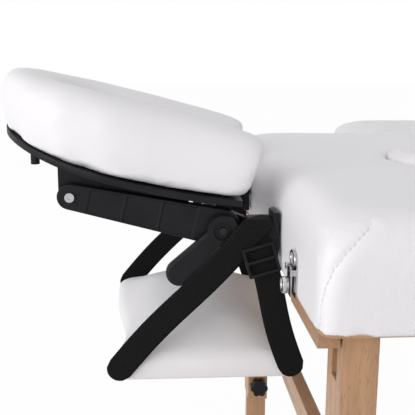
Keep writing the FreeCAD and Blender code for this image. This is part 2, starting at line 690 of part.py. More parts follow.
def tray_height(x, offset):
    """Height of the tray's lower face plus an offset, on a long arc that rises to the front."""
    slope = math.radians(TRAY_REAR_SLOPE)
    centre_x = CRADLE_END - TRAY_REAR + TRAY_CURVE_RADIUS * math.sin(slope)
    centre_z = TABLE_HEIGHT - TRAY_REAR_DROP + TRAY_CURVE_RADIUS * math.cos(slope)
    reach = TRAY_CURVE_RADIUS - offset
    return centre_z - math.sqrt(reach ** 2 - (x - centre_x) ** 2)


def horseshoe(front, rear, width, limb, z0, z1):
    """A U-shaped prism: a round closed end at the front and an open end at the table."""
    half = width / 2
    inner = half - limb
    outer_centre = front + half
    edges_outer = arc_end(front, outer_centre, half)
    inner_front = front + limb
    inner_centre = inner_front + inner
    edges_inner = arc_end(inner_front, inner_centre, inner)
    outside = [
        Part.LineSegment(Vector(outer_centre, -half, 0), Vector(rear, -half, 0)).toShape(),
        Part.LineSegment(Vector(rear, -half, 0), Vector(rear, -inner, 0)).toShape(),
        Part.LineSegment(Vector(rear, -inner, 0), Vector(inner_centre, -inner, 0)).toShape(),
        *edges_inner,
        Part.LineSegment(Vector(inner_centre, inner, 0), Vector(rear, inner, 0)).toShape(),
        Part.LineSegment(Vector(rear, inner, 0), Vector(rear, half, 0)).toShape(),
        Part.LineSegment(Vector(rear, half, 0), Vector(outer_centre, half, 0)).toShape(),
        *edges_outer,
    ]
    face = Part.Face(Part.Wire(Part.__sortEdges__(outside)))
    face.translate(Vector(0, 0, z0))
    return face.extrude(Vector(0, 0, z1 - z0))


def arc_end(front, centre, half):
    """The round end of a horseshoe: an arc through the two flanks and the front point."""
    return [Part.Arc(Vector(centre, -half, 0), Vector(front, 0, 0), Vector(centre, half, 0)).toShape()]


def build_platform():
    """Curved tray with brackets down to the front pivots and slotted tongues at the cam bolt."""
    rear = CRADLE_END - TRAY_REAR
    front = rear - TRAY_LENGTH
    places = (front - TRAY_LIMB, (front + rear) / 2, rear + TRAY_LIMB)
    low = [Vector(x, -TRAY_WIDTH, tray_height(x, 0)) for x in places]
    high = [Vector(x, -TRAY_WIDTH, tray_height(x, TRAY_THICKNESS)) for x in places]
    band = slab_y(
        [
            Part.Arc(*low).toShape(),
            Part.LineSegment(low[2], high[2]).toShape(),
            Part.Arc(*high[::-1]).toShape(),
            Part.LineSegment(high[0], low[0]).toShape(),
        ],
        -TRAY_WIDTH, TRAY_WIDTH,
    )
    plan = horseshoe(front, rear, TRAY_WIDTH, TRAY_LIMB, 0, 2 * TABLE_HEIGHT)
    tray = band.common(plan)
    for hand in (NEAR, FAR):
        y0, y1 = sorted((hand * BRACKET_OUTSIDE, hand * (BRACKET_OUTSIDE - BRACKET_THICKNESS)))
        nub_x = front + NUB_FROM_FRONT
        nub_y = hand * NUB_SPREAD / 2
        nub_top = under_tray(nub_x)
        nub = rod_z(NUB_RADIUS, nub_x, nub_y, nub_top - NUB_HEIGHT - TRAY_THICKNESS, nub_top)
        tray = tray.fuse([front_bracket(y0, y1), slotted_tongue(y0, y1), nub])
    keep("cradle_platform", tray.removeSplitter())
    screws = []
    for hand in (NEAR, FAR):
        screw_end = BRACKET_OUTSIDE - BRACKET_THICKNESS
        shank = rod_y(SCREW_RADIUS, *FRONT_PIVOT, hand * screw_end, hand * ARM_OUTSIDE)
        head = rod_y(
            SCREW_HEAD_RADIUS, *FRONT_PIVOT, hand * ARM_OUTSIDE, hand * (ARM_OUTSIDE + SCREW_HEAD)
        )
        sides = [math.radians(60) * k for k in range(6)]
        wall = SCREW_HEAD_RADIUS / 2
        socket = polygon_y(
            [(FRONT_PIVOT[0] + wall * math.cos(a), FRONT_PIVOT[1] + wall * math.sin(a)) for a in sides],
            hand * (ARM_OUTSIDE + SCREW_HEAD / 3), hand * (ARM_OUTSIDE + SCREW_HEAD),
        )
        screws.append(shank.fuse(head).cut(socket).removeSplitter())
    keep("cradle_pivot_screws", *screws)


def under_tray(x):
    """A height inside the tray, where a bracket or tongue grows out of it."""
    return tray_height(x, TRAY_THICKNESS / 2)


def front_bracket(y0, y1):
    """Side plate from the tray down to the front pivot, round below the screw."""
    x, z = FRONT_PIVOT
    radius = ARM_FRONT_RADIUS
    left, right = x - radius, x + BRACKET_LENGTH
    slant = radius * math.sqrt(0.5)
    outline = [
        Vector(left, y0, z), Vector(left, y0, under_tray(left)),
        Vector(right, y0, under_tray(right)), Vector(right, y0, tray_height(right, 0) - radius / 2),
        Vector(x + slant, y0, z - slant),
    ]
    edges = [Part.LineSegment(outline[k], outline[k + 1]).toShape() for k in range(4)]
    edges.append(Part.Arc(outline[4], Vector(x - slant, y0, z - slant), outline[0]).toShape())
    return slab_y(edges, y0, y1).cut(rod_y(SCREW_RADIUS + RUNNING_CLEARANCE, x, z, y0, y1))


def slotted_tongue(y0, y1):
    """Rear plate with an arc slot about the front pivot, through which the cam bolt passes."""
    reach = math.hypot(CAM[0] - FRONT_PIVOT[0], CAM[1] - FRONT_PIVOT[1])
    heading = math.atan2(CAM[1] - FRONT_PIVOT[1], CAM[0] - FRONT_PIVOT[0])
    slot_half = CAM_BOLT_RADIUS + SIDE_CLEARANCE
    sweep_low = heading - math.radians(TILT_UP + 1)
    sweep_high = heading + math.radians(TILT_DOWN + 1)

    def ring(inner, outer, start, end):
        def at(radius, angle):
            return Vector(
                FRONT_PIVOT[0] + radius * math.cos(angle), y0, FRONT_PIVOT[1] + radius * math.sin(angle)
            )
        middle = (start + end) / 2
        return slab_y(
            [
                Part.Arc(at(outer, start), at(outer, middle), at(outer, end)).toShape(),
                Part.LineSegment(at(outer, end), at(inner, end)).toShape(),
                Part.Arc(at(inner, end), at(inner, middle), at(inner, start)).toShape(),
                Part.LineSegment(at(inner, start), at(outer, start)).toShape(),
            ],
            y0, y1,
        )

    margin = math.radians(TONGUE_MARGIN)
    rise = math.radians(TONGUE_RISE)
    plate = ring(reach - TONGUE_WALL, reach + TONGUE_WALL, sweep_low - margin, sweep_high + rise)
    roof_x = [FRONT_PIVOT[0] + reach + k * TONGUE_WALL * 2 for k in (-1, 1)]
    ceiling = polygon_y(
        [
            (roof_x[0], under_tray(roof_x[0])), (roof_x[1], under_tray(roof_x[1])),
            (roof_x[1], 2 * TABLE_HEIGHT), (roof_x[0], 2 * TABLE_HEIGHT),
        ],
        y0, y1,
    )
    plate = plate.cut(ceiling)
    slot = ring(reach - slot_half, reach + slot_half, sweep_low, sweep_high)
    ends = [
        rod_y(
            slot_half, FRONT_PIVOT[0] + reach * math.cos(a), FRONT_PIVOT[1] + reach * math.sin(a), y0, y1
        )
        for a in (sweep_low, sweep_high)
    ]
    return plate.cut(slot.fuse(ends))


def build_face_cushion():
    """Horseshoe cushion: rounded sections round the U, fullest near its front."""
    rear = CRADLE_END - CUSHION_REAR
    centre = rear - CUSHION_LENGTH + CUSHION_WIDTH / 2
    bend = (CUSHION_WIDTH - CUSHION_LIMB) / 2
    straight = rear - centre
    limb = [(rear - share * straight, size) for share, size in LIMB_SIZES]
    rings = [cushion_section(x, -bend, 0, -1, size) for x, size in limb]
    for turn in range(CUSHION_TURNS + 1):
        angle = -math.pi / 2 - math.pi * turn / CUSHION_TURNS
        out_x, out_y = math.cos(angle), math.sin(angle)
        rings.append(cushion_section(centre + bend * out_x, bend * out_y, out_x, out_y, 1.0))
    rings += [cushion_section(x, bend, 0, 1, size) for x, size in reversed(limb)]
    keep("face_cushion", stacked(rings))


def cushion_section(x, y, out_x, out_y, size):
    """The points of one section of the horseshoe, standing on the tray and facing outwards."""
    swell = 1 - ((x - CRADLE_END + CUSHION_CREST) / CUSHION_FALL) ** 2
    full = CUSHION_HEIGHT * swell
    half, height = CUSHION_LIMB / 2 * size, full * size
    foot = (full - height) / 2
    top_roll, foot_roll = CUSHION_ROLL * size, CUSHION_FOOT_ROLL * size
    top_roll = min(top_roll, height - 1.5 * foot_roll)
    lean = CUSHION_LEAN * max(0.0, 1 - (CRADLE_END - CUSHION_REAR - x) / CUSHION_WIDTH * 2)

    def at(out, up):
        px = x + out * out_x
        rise = foot + up
        return Vector(
            px + lean * rise, y + out * out_y, tray_height(px, TRAY_THICKNESS) + CUSHION_SEAT + rise
        )

    corners = [
        (half, height, -1, -1, top_roll), (-half, height, 1, -1, top_roll),
        (-half, 0, 1, 1, foot_roll), (half, 0, -1, 1, foot_roll),
    ]
    points = []
    for turn, (out, up, inward, upward, radius) in enumerate(corners):
        for step in range(CORNER_CHORDS + 1):
            angle = math.radians(90) * (turn + step / CORNER_CHORDS)
            across = out + radius * (inward + math.cos(angle))
            points.append(at(across, up + radius * (upward + math.sin(angle))))
    return points


def build_arm_shelf():
    """Crowned shelf hung on two webbing straps, each a V over a post of the cradle base."""
    peak = (CRADLE_END - STRAP_PEAK, TABLE_HEIGHT - STRAP_PEAK_DROP)
    foot_z = TABLE_HEIGHT - STRAP_FOOT_DROP
    feet = [(CRADLE_END - STRAP_FRONT, foot_z), (CRADLE_END - STRAP_REAR, foot_z)]
    front = CRADLE_END - SHELF_FRONT
    shelf_top = TABLE_HEIGHT - SHELF_DROP
    half_width = BASE_WIDTH / 2
    keep("arm_shelf", cushion(
        front, front + SHELF_DEPTH, -half_width, half_width, shelf_top - SHELF_HEIGHT, shelf_top,
        SHELF_ROLL, SHELF_ROLL, SHELF_CROWN,
    ))
    strap_y = half_width + CUSHION_GAP
    buckles = []
    for hand in (NEAR, FAR):
        y0, y1 = sorted((hand * strap_y, hand * (strap_y + STRAP_THICKNESS)))
        half = STRAP_WIDTH / 2
        strands = [tapered_bar(peak, foot, half, half, y0, y1) for foot in feet]
        keep(f"shelf_strap_{SIDE_NAMES[hand]}", strands[0].fuse(strands[1]).removeSplitter())
        buckles.append(strap_buckle(peak, feet[1], hand, strap_y + STRAP_THICKNESS))
    keep("strap_buckles", *buckles)


def strap_buckle(start, end, hand, face):
    """A slide buckle with two slots, flat on the rear strand of a strap."""
    length = math.hypot(end[0] - start[0], end[1] - start[1])
    ux, uz = (end[0] - start[0]) / length, (end[1] - start[1]) / length
    y0, y1 = hand * face, hand * (face + BUCKLE_THICKNESS)

    def plate(along0, along1, across):
        corners = [(along0, across), (along1, across), (along1, -across), (along0, -across)]
        return polygon_y(
            [(start[0] + ux * a - uz * c, start[1] + uz * a + ux * c) for a, c in corners], y0, y1
        )

    begin = STRAP_WIDTH * 0.6
    middle = begin + BUCKLE_LENGTH / 2
    across = STRAP_WIDTH / 2
    frame = plate(begin, begin + BUCKLE_LENGTH, across + BUCKLE_BAR)
    slots = [
        plate(begin + BUCKLE_BAR, middle - BUCKLE_BAR / 2, across),
        plate(middle + BUCKLE_BAR / 2, begin + BUCKLE_LENGTH - BUCKLE_BAR, across),
    ]
    return frame.cut(slots[0].fuse(slots[1]))


# Accessories on the table's sides and ends


def armrest_peg_places():
    """X of the two pegs of each side armrest."""
    middle = -HALF_LENGTH + ARMREST_FROM_END + ARMREST_LENGTH / 2
    return (middle - ARMREST_PEG_SPREAD / 2, middle + ARMREST_PEG_SPREAD / 2)


def build_armrests():
    """A pad on a wooden angle, plugged into the side rail by two pegs."""
    x0 = -HALF_LENGTH + ARMREST_FROM_END
    x1 = x0 + ARMREST_LENGTH
    top = TABLE_HEIGHT + ARMREST_RISE
    bottom = top - ARMREST_HEIGHT
    for hand in (NEAR, FAR):
        name = f"armrest_{SIDE_NAMES[hand]}"
        inner = hand * (HALF_WIDTH + ARMREST_GAP)
        outer = inner + hand * ARMREST_WIDTH
        y0, y1 = sorted((inner, outer))
        keep(
            f"{name}_pad",
            cushion(x0, x1, y0, y1, bottom, top, ARMREST_ROLL, ARMREST_ROLL, CROWN_HEIGHT),
        )
        inset = ARMREST_ROLL
        board = block(
            x0 + inset, x1 - inset, inner, outer - hand * inset, bottom - ARMREST_BOARD, bottom
        )
        apron = block(
            x0 + inset, x1 - inset, inner, inner + hand * ARMREST_BOARD * 2,
            RAIL_MIDDLE - 2 * ARMREST_PEG_HALF, bottom - ARMREST_BOARD,
        )
        pegs = [
            square_bar(ARMREST_PEG_HALF, x, RAIL_MIDDLE, inner, hand * RAIL_INSIDE)
            for x in armrest_peg_places()
        ]
        keep(f"{name}_support", board.fuse([apron, *pegs]).removeSplitter())


def build_latches():
    """Draw latches on the head end and their catches on the foot end."""
    plates, catches = [], []
    end = HALF_LENGTH
    axis_x = -end - LATCH_PLATE - LATCH_BARREL_RADIUS
    axis_z = RAIL_BOTTOM + LATCH_HEIGHT - LATCH_BARREL_RADIUS * 2
    for hand in (NEAR, FAR):
        middle = hand * LATCH_SPREAD / 2
        y0, y1 = middle - LATCH_WIDTH / 2, middle + LATCH_WIDTH / 2
        plate = block(-end - LATCH_PLATE, -end, y0, y1, RAIL_BOTTOM + LATCH_LIFT, RAIL_BOTTOM + LATCH_HEIGHT)
        ear = LATCH_WIDTH / 6
        ears = [
            block(
                axis_x - LATCH_BARREL_RADIUS, -end, y, y + ear,
                axis_z - LATCH_BARREL_RADIUS, axis_z + LATCH_BARREL_RADIUS,
            )
            for y in (y0, y1 - ear)
        ]
        bore = rod_y(LATCH_PIN_RADIUS + RUNNING_CLEARANCE, axis_x, axis_z, y0, y1)
        plates.append(plate.fuse(ears).cut(bore).removeSplitter())
        pin = rod_y(LATCH_PIN_RADIUS, axis_x, axis_z, y0, y1)
        inner0, inner1 = y0 + ear + SIDE_CLEARANCE, y1 - ear - SIDE_CLEARANCE
        barrel = rod_y(LATCH_BARREL_RADIUS - SIDE_CLEARANCE, axis_x, axis_z, inner0, inner1)
        thumb = block(
            axis_x - LATCH_PLATE, axis_x, inner0, inner1, RAIL_BOTTOM + 2 * LATCH_LIFT, axis_z
        )
        keep(f"latch_lever_{SIDE_NAMES[hand]}", pin.fuse([barrel, thumb]).removeSplitter())
        base = block(end, end + LATCH_PLATE, y0, y1, RAIL_BOTTOM + LATCH_LIFT, RAIL_BOTTOM + CATCH_HEIGHT)
        hook = block(
            end, end + LATCH_PLATE * 4, y0 + ear, y1 - ear,
            RAIL_BOTTOM + CATCH_HEIGHT - LATCH_PLATE, RAIL_BOTTOM + CATCH_HEIGHT,
        )
        lip = block(
            end + LATCH_PLATE * 3, end + LATCH_PLATE * 4, y0 + ear, y1 - ear,
            RAIL_BOTTOM + CATCH_HEIGHT - LATCH_PLATE, RAIL_BOTTOM + CATCH_HEIGHT + LATCH_PLATE * 2,
        )
        catches.append(base.fuse([hook, lip]).removeSplitter())
    keep("latch_plates", *plates)
    keep("latch_catches", *catches)


def origin_shift():
    """The move that puts the origin under the middle of the object's box."""
    boxes = [shape.optimalBoundingBox(False, False) for shape in pieces.values()]
    low = min(box.XMin for box in boxes)
    high = max(box.XMax for box in boxes)
    return Vector(-(low + high) / 2, 0, 0)


def build():
    """Draws every piece and moves the whole; returns the move."""
    build_halves()
    build_plug()
    build_fold_hinges()
    build_cradle_base()
    build_cradle_arms()
    build_cam()
    build_platform()
    build_face_cushion()
    build_arm_shelf()
    build_armrests()
    build_latches()
    shift = origin_shift()
    for shape in pieces.values():
        shape.translate(shift)
    return shift


SHIFT = build()
os.makedirs("parts", exist_ok=True)
for piece_name, piece in pieces.items():
    piece.exportStep(f"parts/{piece_name}.step")
print(f"{len(pieces)} pieces, moved {SHIFT.x:.3f} mm along X")
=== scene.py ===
"""Looks of a folding massage table: upholstery, webbing, wood, plastics and fittings on the CAD frame."""
import json
import math

import bpy
from bpy.props import FloatProperty, FloatVectorProperty, PointerProperty
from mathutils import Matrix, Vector
from mathutils.bvhtree import BVHTree


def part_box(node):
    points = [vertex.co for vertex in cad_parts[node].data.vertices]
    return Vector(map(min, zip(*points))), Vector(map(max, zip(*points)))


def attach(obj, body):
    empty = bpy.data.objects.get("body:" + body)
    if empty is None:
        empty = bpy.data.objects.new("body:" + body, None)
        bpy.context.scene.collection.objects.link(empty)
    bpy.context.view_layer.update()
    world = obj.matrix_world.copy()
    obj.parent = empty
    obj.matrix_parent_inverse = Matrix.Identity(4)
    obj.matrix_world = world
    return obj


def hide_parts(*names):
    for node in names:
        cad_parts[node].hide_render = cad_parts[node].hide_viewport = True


bl_info = {
    "name": "Folding massage table",
    "version": (1, 0, 0),
    "blender": (4, 5, 0),
    "location": "View3D > Sidebar > Massage table",
    "description": "Upholsters and finishes a folding massage table with its face cradle",
    "category": "Object",
}

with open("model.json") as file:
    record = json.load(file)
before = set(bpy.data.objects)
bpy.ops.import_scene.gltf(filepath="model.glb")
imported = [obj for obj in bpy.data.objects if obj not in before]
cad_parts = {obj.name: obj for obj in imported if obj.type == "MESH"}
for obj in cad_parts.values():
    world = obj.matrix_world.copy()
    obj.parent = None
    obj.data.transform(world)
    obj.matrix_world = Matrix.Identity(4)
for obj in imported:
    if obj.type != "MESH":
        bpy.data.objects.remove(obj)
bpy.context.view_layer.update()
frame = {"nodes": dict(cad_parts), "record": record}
NODES = frame["nodes"]
SLOT_OF = {part["node"]: part["material_slot"] for part in frame["record"]["subparts"]}

# Places on the frame that pieces are measured from
HEAD_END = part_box("head_pad")[0].x
FOOT_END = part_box("foot_pad")[1].x
TABLE_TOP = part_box("head_pad")[1].z
MILLIMETRE = 0.001
NEAR, FAR = -1, 1

# Points closer than this are at the same place
SAME_PLACE = 1e-5

# Cloth that fills the cushions
SWELL_FRAMES = 20
COVER_STIFFNESS = 25


def from_head(x, y, z):
    """A point given in millimetres from the head end and the table top."""
    return Vector((HEAD_END + x * MILLIMETRE, y * MILLIMETRE, TABLE_TOP + z * MILLIMETRE))


# Working with objects


def select_only(piece):
    """Leave edit mode and make one piece the selected and active object."""
    active = bpy.context.view_layer.objects.active
    if active and active.mode != "OBJECT":
        bpy.ops.object.mode_set(mode="OBJECT")
    bpy.ops.object.select_all(action="DESELECT")
    if piece:
        piece.select_set(True)
        bpy.context.view_layer.objects.active = piece


def named(name):
    """The object that was just added, under its own name."""
    piece = bpy.context.object
    piece.name = name
    piece.data.name = name
    return piece


def copy_of_node(node, name):
    """A merged copy of a CAD node's mesh as a new object."""
    piece = bpy.data.objects.new(name, NODES[node].data.copy())
    bpy.context.scene.collection.objects.link(piece)
    piece.data.name = name
    piece.data.materials.clear()
    select_only(piece)
    bpy.ops.object.mode_set(mode="EDIT")
    bpy.ops.mesh.select_all(action="SELECT")
    bpy.ops.mesh.remove_doubles(threshold=SAME_PLACE)
    bpy.ops.object.mode_set(mode="OBJECT")
    return piece


def change(piece, kind, **settings):
    """Add a modifier with these settings and apply it."""
    select_only(piece)
    modifier = piece.modifiers.new(kind.title(), kind)
    for key, value in settings.items():
        setattr(modifier, key, value)
    bpy.ops.object.modifier_apply(modifier=modifier.name)


def edit_faces(piece, test, action, **settings):
    """Run a mesh operator on the faces that pass a test."""
    select_only(piece)
    bpy.ops.object.mode_set(mode="EDIT")
    bpy.ops.mesh.select_mode(type="FACE")
    bpy.ops.mesh.select_all(action="DESELECT")
    bpy.ops.object.mode_set(mode="OBJECT")
    for face in piece.data.polygons:
        face.select = test(face)
    bpy.ops.object.mode_set(mode="EDIT")
    action(**settings)
    bpy.ops.object.mode_set(mode="OBJECT")


def add_block(name, low, high):
    """A box between two corners, with its place in its mesh."""
    select_only(None)
    low, high = Vector(low), Vector(high)
    bpy.ops.mesh.primitive_cube_add(size=1, location=(low + high) / 2)
    piece = named(name)
    piece.scale = high - low
    bpy.ops.object.transform_apply(location=True, rotation=True, scale=True)
    return piece


def join(piece, *others):
    """Join other objects into one piece."""
    select_only(piece)
    for other in others:
        other.select_set(True)
    bpy.ops.object.join()


def soften(piece, voxel, rounds):
    """Remesh a piece into even quads and round off its edges."""
    change(piece, "REMESH", mode="VOXEL", voxel_size=voxel, use_smooth_shade=True)
    change(piece, "SMOOTH", factor=0.5, iterations=rounds)


def push(piece, amount):
    """Move every point along its normal by what amount(point, normal) gives."""
    moves = [vertex.normal * amount(vertex.co, vertex.normal) for vertex in piece.data.vertices]
    for vertex, move in zip(piece.data.vertices, moves):
        vertex.co += move
    piece.data.update()


def swell(piece, pressure, cap, held):
    """Blow a cover up with cloth pressure, holding the points that pass a test."""
    start = [vertex.co.copy() for vertex in piece.data.vertices]
    pinned = [vertex.index for vertex in piece.data.vertices if held(vertex.co, vertex.normal)]
    group = piece.vertex_groups.new(name="Held")
    group.add(pinned, 1.0, "ADD")
    select_only(piece)
    cloth = piece.modifiers.new("Cloth", "CLOTH")
    cloth.settings.use_pressure = True
    cloth.settings.uniform_pressure_force = pressure
    cloth.settings.effector_weights.gravity = 0
    cloth.settings.vertex_group_mass = group.name
    cloth.settings.tension_stiffness = COVER_STIFFNESS
    cloth.settings.compression_stiffness = COVER_STIFFNESS
    cloth.point_cache.frame_end = SWELL_FRAMES
    for step in range(1, SWELL_FRAMES + 1):
        bpy.context.scene.frame_set(step)
    bpy.ops.object.modifier_apply(modifier=cloth.name)
    bpy.context.scene.frame_set(1)
    piece.vertex_groups.clear()
    for vertex, place in zip(piece.data.vertices, start):
        move = vertex.co - place
        if move.length > cap:
            vertex.co = place + move.normalized() * cap
    piece.data.update()


def smooth_noise(point, scale):
    """A repeatable smooth value from -1 to 1 that varies over a few lengths of 1 / scale."""
    x, y, z = point * scale
    first = math.sin(1.7 * x + 0.6 * math.sin(2.3 * y + 1.1))
    second = math.sin(1.3 * y + 0.8 * math.sin(1.9 * z + 0.4))
    third = math.sin(1.5 * z + 0.7 * math.sin(2.1 * x + 2.6))
    return (first + second + third) / 3


def bell(distance, width):
    """1 at no distance, falling off smoothly over a width."""
    return math.exp(-((distance / width) ** 2))


def hand_over(piece, body, slot, material, *nodes):
    """Give a finished piece its material, its body and the nodes that it stands for."""
    piece.data.materials.clear()
    piece.data.materials.append(material)
    select_only(piece)
    bpy.ops.object.shade_smooth()
    if nodes:
        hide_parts(*nodes)
    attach(piece, body)


# Materials


class Value:
    """A shader socket whose arithmetic adds Math nodes."""

    def __init__(self, finish, socket):
        self.finish = finish
        self.socket = socket

    def math(self, operation, *values):
        sockets = dict(enumerate(values))
        return self.finish.node("ShaderNodeMath", {"operation": operation}, sockets, "Value")

    def __add__(self, other):
        return self.math("ADD", self, other)

    def __sub__(self, other):
        return self.math("SUBTRACT", self, other)

    def __rsub__(self, other):
        return self.math("SUBTRACT", other, self)

    def __mul__(self, other):
        return self.math("MULTIPLY", self, other)

    __radd__ = __add__
    __rmul__ = __mul__


class Finish:
    """One node material, written as expressions."""

    # Numbers of a Mix node's colour sockets, which share their names with others
    MIX_FIRST, MIX_SECOND, MIX_RESULT = 6, 7, 2

    def __init__(self, name, roughness=0.5, **plain):
        self.material = bpy.data.materials.new(name)
        self.material.use_nodes = True
        self.tree = self.material.node_tree
        self.shader = self.tree.nodes["Principled BSDF"]
        self.shader.inputs["Roughness"].default_value = roughness
        for key, value in plain.items():
            self.shader.inputs[key.replace("_", " ").title()].default_value = value
        self.place = self.node("ShaderNodeTexCoord", {}, {}, "Object")

    def node(self, kind, settings, sockets, output):
        """Add a node: its settings first, then the values or links of its sockets."""
        node = self.tree.nodes.new(kind)
        for key, value in settings.items():
            setattr(node, key, value)
        for key, value in sockets.items():
            self.feed(node.inputs[key], value)
        return Value(self, node.outputs[output])

    def feed(self, socket, value):
        if isinstance(value, Value):
            self.tree.links.new(value.socket, socket)
        elif socket.type == "RGBA" and len(value) == 3:
            socket.default_value = (*value, 1.0)
        else:
            socket.default_value = value

    def set(self, **sockets):
        """Link or set sockets of the shader, such as Base_Color."""
        for key, value in sockets.items():
            self.feed(self.shader.inputs[key.replace("_", " ")], value)

    def stretched(self, scale):
        """Coordinates scaled along each axis."""
        return self.node(
            "ShaderNodeMapping", {"vector_type": "POINT"}, {"Vector": self.place, "Scale": scale}, "Vector"
        )

    def noise(self, scale, detail=2.0, vector=None, roughness=0.5):
        """Cloudy values from 0 to 1."""
        sockets = {
            "Vector": vector or self.place, "Scale": scale, "Detail": detail, "Roughness": roughness,
        }
        return self.node("ShaderNodeTexNoise", {}, sockets, "Fac")

    def cell_edges(self, scale):
        """Distance to the edge between two pebbles."""
        return self.node(
            "ShaderNodeTexVoronoi", {"feature": "DISTANCE_TO_EDGE"},
            {"Vector": self.place, "Scale": scale}, "Distance",
        )

    def mix(self, share, first, second):
        """A colour between two colours."""
        sockets = {"Factor": share, self.MIX_FIRST: first, self.MIX_SECOND: second}
        return self.node("ShaderNodeMix", {"data_type": "RGBA"}, sockets, self.MIX_RESULT)

    def level(self, share, low, high):
        """The part of a value between low and high, as 0 to 1."""
        sockets = {"Value": share, "From Min": low, "From Max": high}
        return self.node("ShaderNodeMapRange", {"clamp": True}, sockets, "Result")

    def bump(self, height, strength, distance):
        """Raise the surface by a height, in metres at full strength."""
        sockets = {"Height": height, "Strength": strength, "Distance": distance}
        self.set(Normal=self.node("ShaderNodeBump", {}, sockets, "Normal"))


def shades(colour, darker):
    """A colour and a darker one for variation."""
    return tuple(colour), tuple(part * darker for part in colour)


def vinyl_finish(name, colour, grain):
    """Soft leather-look cover: fine pebbled grain, faint creases, low sheen."""
    finish = Finish(name, roughness=0.46)
    light, dark = shades(colour, 0.96)
    cloudy = finish.noise(9.0, 3.0)
    pebbles = finish.cell_edges(grain)
    creases = finish.noise(70.0, 4.0, finish.stretched((1.0, 1.6, 0.7)))
    finish.set(Base_Color=finish.mix(finish.level(cloudy, 0.35, 0.75) * 0.7, light, dark))
    finish.set(Roughness=0.40 + 0.12 * finish.noise(30.0) + 0.06 * finish.level(pebbles, 0.0, 0.2))
    finish.bump(finish.level(pebbles, 0.0, 0.35) * 0.35 + creases * 0.9, 0.35, 0.0006)
    return finish.material


def beech_finish(name, colour, along):
    """Lacquered beech with grain and short dark flecks along one axis."""
    finish = Finish(name, roughness=0.38)
    light, dark = shades(colour, 0.62)
    stretch = [14.0 if axis == along else 150.0 for axis in "XYZ"]
    fleck_stretch = [95.0 if axis == along else 900.0 for axis in "XYZ"]
    wavy = finish.noise(1.0, 3.0, finish.stretched([part * 0.16 for part in stretch]))
    streaks = finish.noise(1.0, 5.0, finish.stretched(stretch), 0.6)
    flecks = finish.level(finish.noise(1.0, 1.0, finish.stretched(fleck_stretch)), 0.63, 0.72)
    tone = finish.level(streaks * 0.6 + wavy * 0.5, 0.38, 0.72)
    grain = finish.mix(tone, light, dark)
    finish.set(Base_Color=finish.mix(flecks * 0.55, grain, tuple(part * 0.4 for part in colour)))
    finish.set(Roughness=0.32 + 0.14 * streaks + 0.1 * flecks)
    finish.bump(streaks * 0.6 - flecks * 0.5, 0.25, 0.0004)
    return finish.material


def plywood_finish(name, colour):
    """Rotary-cut veneer: broad wandering figure and small pins."""
    finish = Finish(name, roughness=0.6)
    light, dark = shades(colour, 0.72)
    wander = finish.noise(1.0, 4.0, finish.stretched((2.2, 9.0, 9.0)), 0.65)
    broad = finish.stretched((0.5, 1.0, 1.0))
    figure = finish.node(
        "ShaderNodeTexWave", {"bands_direction": "Y"},
        {"Vector": broad, "Scale": 9.0, "Distortion": 7.0, "Detail": 3.0}, "Fac",
    )
    tone = finish.level(wander * 0.7 + figure * 0.4, 0.3, 0.95)
    finish.set(Base_Color=finish.mix(tone, light, dark))
    finish.set(Roughness=0.55 + 0.15 * wander)
    finish.bump(wander, 0.2, 0.0005)
    return finish.material


def plastic_finish(name, colour):
    """Moulded plastic with a fine spark-eroded texture and rubbed patches."""
    finish = Finish(name, roughness=0.42)
    finish.set(Specular_IOR_Level=0.18)
    light, dark = shades([part * 1.25 for part in colour], 0.6)
    patches = finish.noise(28.0, 3.0)
    texture = finish.noise(1500.0, 1.0)
    finish.set(Base_Color=finish.mix(finish.level(patches, 0.35, 0.7), light, dark))
    finish.set(Roughness=0.36 + 0.14 * patches + 0.06 * texture)
    finish.bump(texture + patches * 0.5, 0.22, 0.00018)
    return finish.material


# Weave of the straps: bands across the width, ribs and cross threads in a metre, and the slant of the ribs
WEAVE_BANDS = 6.0
RIBS = 260.0
PICKS = 900.0
RIB_SLANT = 2.2


def webbing_finish(name, colour):
    """Woven strap: slanting ribs in mirrored bands, on the strap's own map."""
    finish = Finish(name, roughness=0.75)
    finish.set(Specular_IOR_Level=0.06)
    light, dark = shades([part * 2.0 for part in colour], 0.28)
    chart = finish.node("ShaderNodeTexCoord", {}, {}, "UV")
    across = finish.node("ShaderNodeSeparateXYZ", {}, {"Vector": chart}, "X")
    along = finish.node("ShaderNodeSeparateXYZ", {}, {"Vector": chart}, "Y")
    bands = across * WEAVE_BANDS
    fold = bands.math("PINGPONG", bands, 1.0)
    slant = (along * RIBS + fold * RIB_SLANT) * math.tau
    ribs = slant.math("SINE", slant) * 0.5 + 0.5
    rounds = along * PICKS * math.tau
    picks = rounds.math("SINE", rounds) * 0.5 + 0.5
    fuzz = finish.noise(900.0, 2.0)
    weave = ribs * 0.75 + picks * 0.15 + fuzz * 0.25
    finish.set(Base_Color=finish.mix(finish.level(weave, 0.1, 1.0), dark, light))
    finish.set(Roughness=0.62 + 0.2 * fuzz)
    finish.bump(weave, 0.6, 0.0004)
    return finish.material


def metal_finish(name, colour, roughness, streak):
    """Plated metal with fine drawn scratches and faint dulling."""
    finish = Finish(name, roughness=roughness, metallic=1.0)
    light, dark = shades(colour, 0.8)
    scratches = finish.noise(1.0, 3.0, finish.stretched((streak, streak * 0.06, streak)))
    dull = finish.noise(60.0, 3.0)
    finish.set(Base_Color=finish.mix(finish.level(dull, 0.4, 0.8) * 0.6, light, dark))
    finish.set(Roughness=roughness * 0.7 + roughness * 0.6 * dull + 0.05 * scratches)
    finish.bump(scratches, 0.12, 0.00008)
    return finish.material


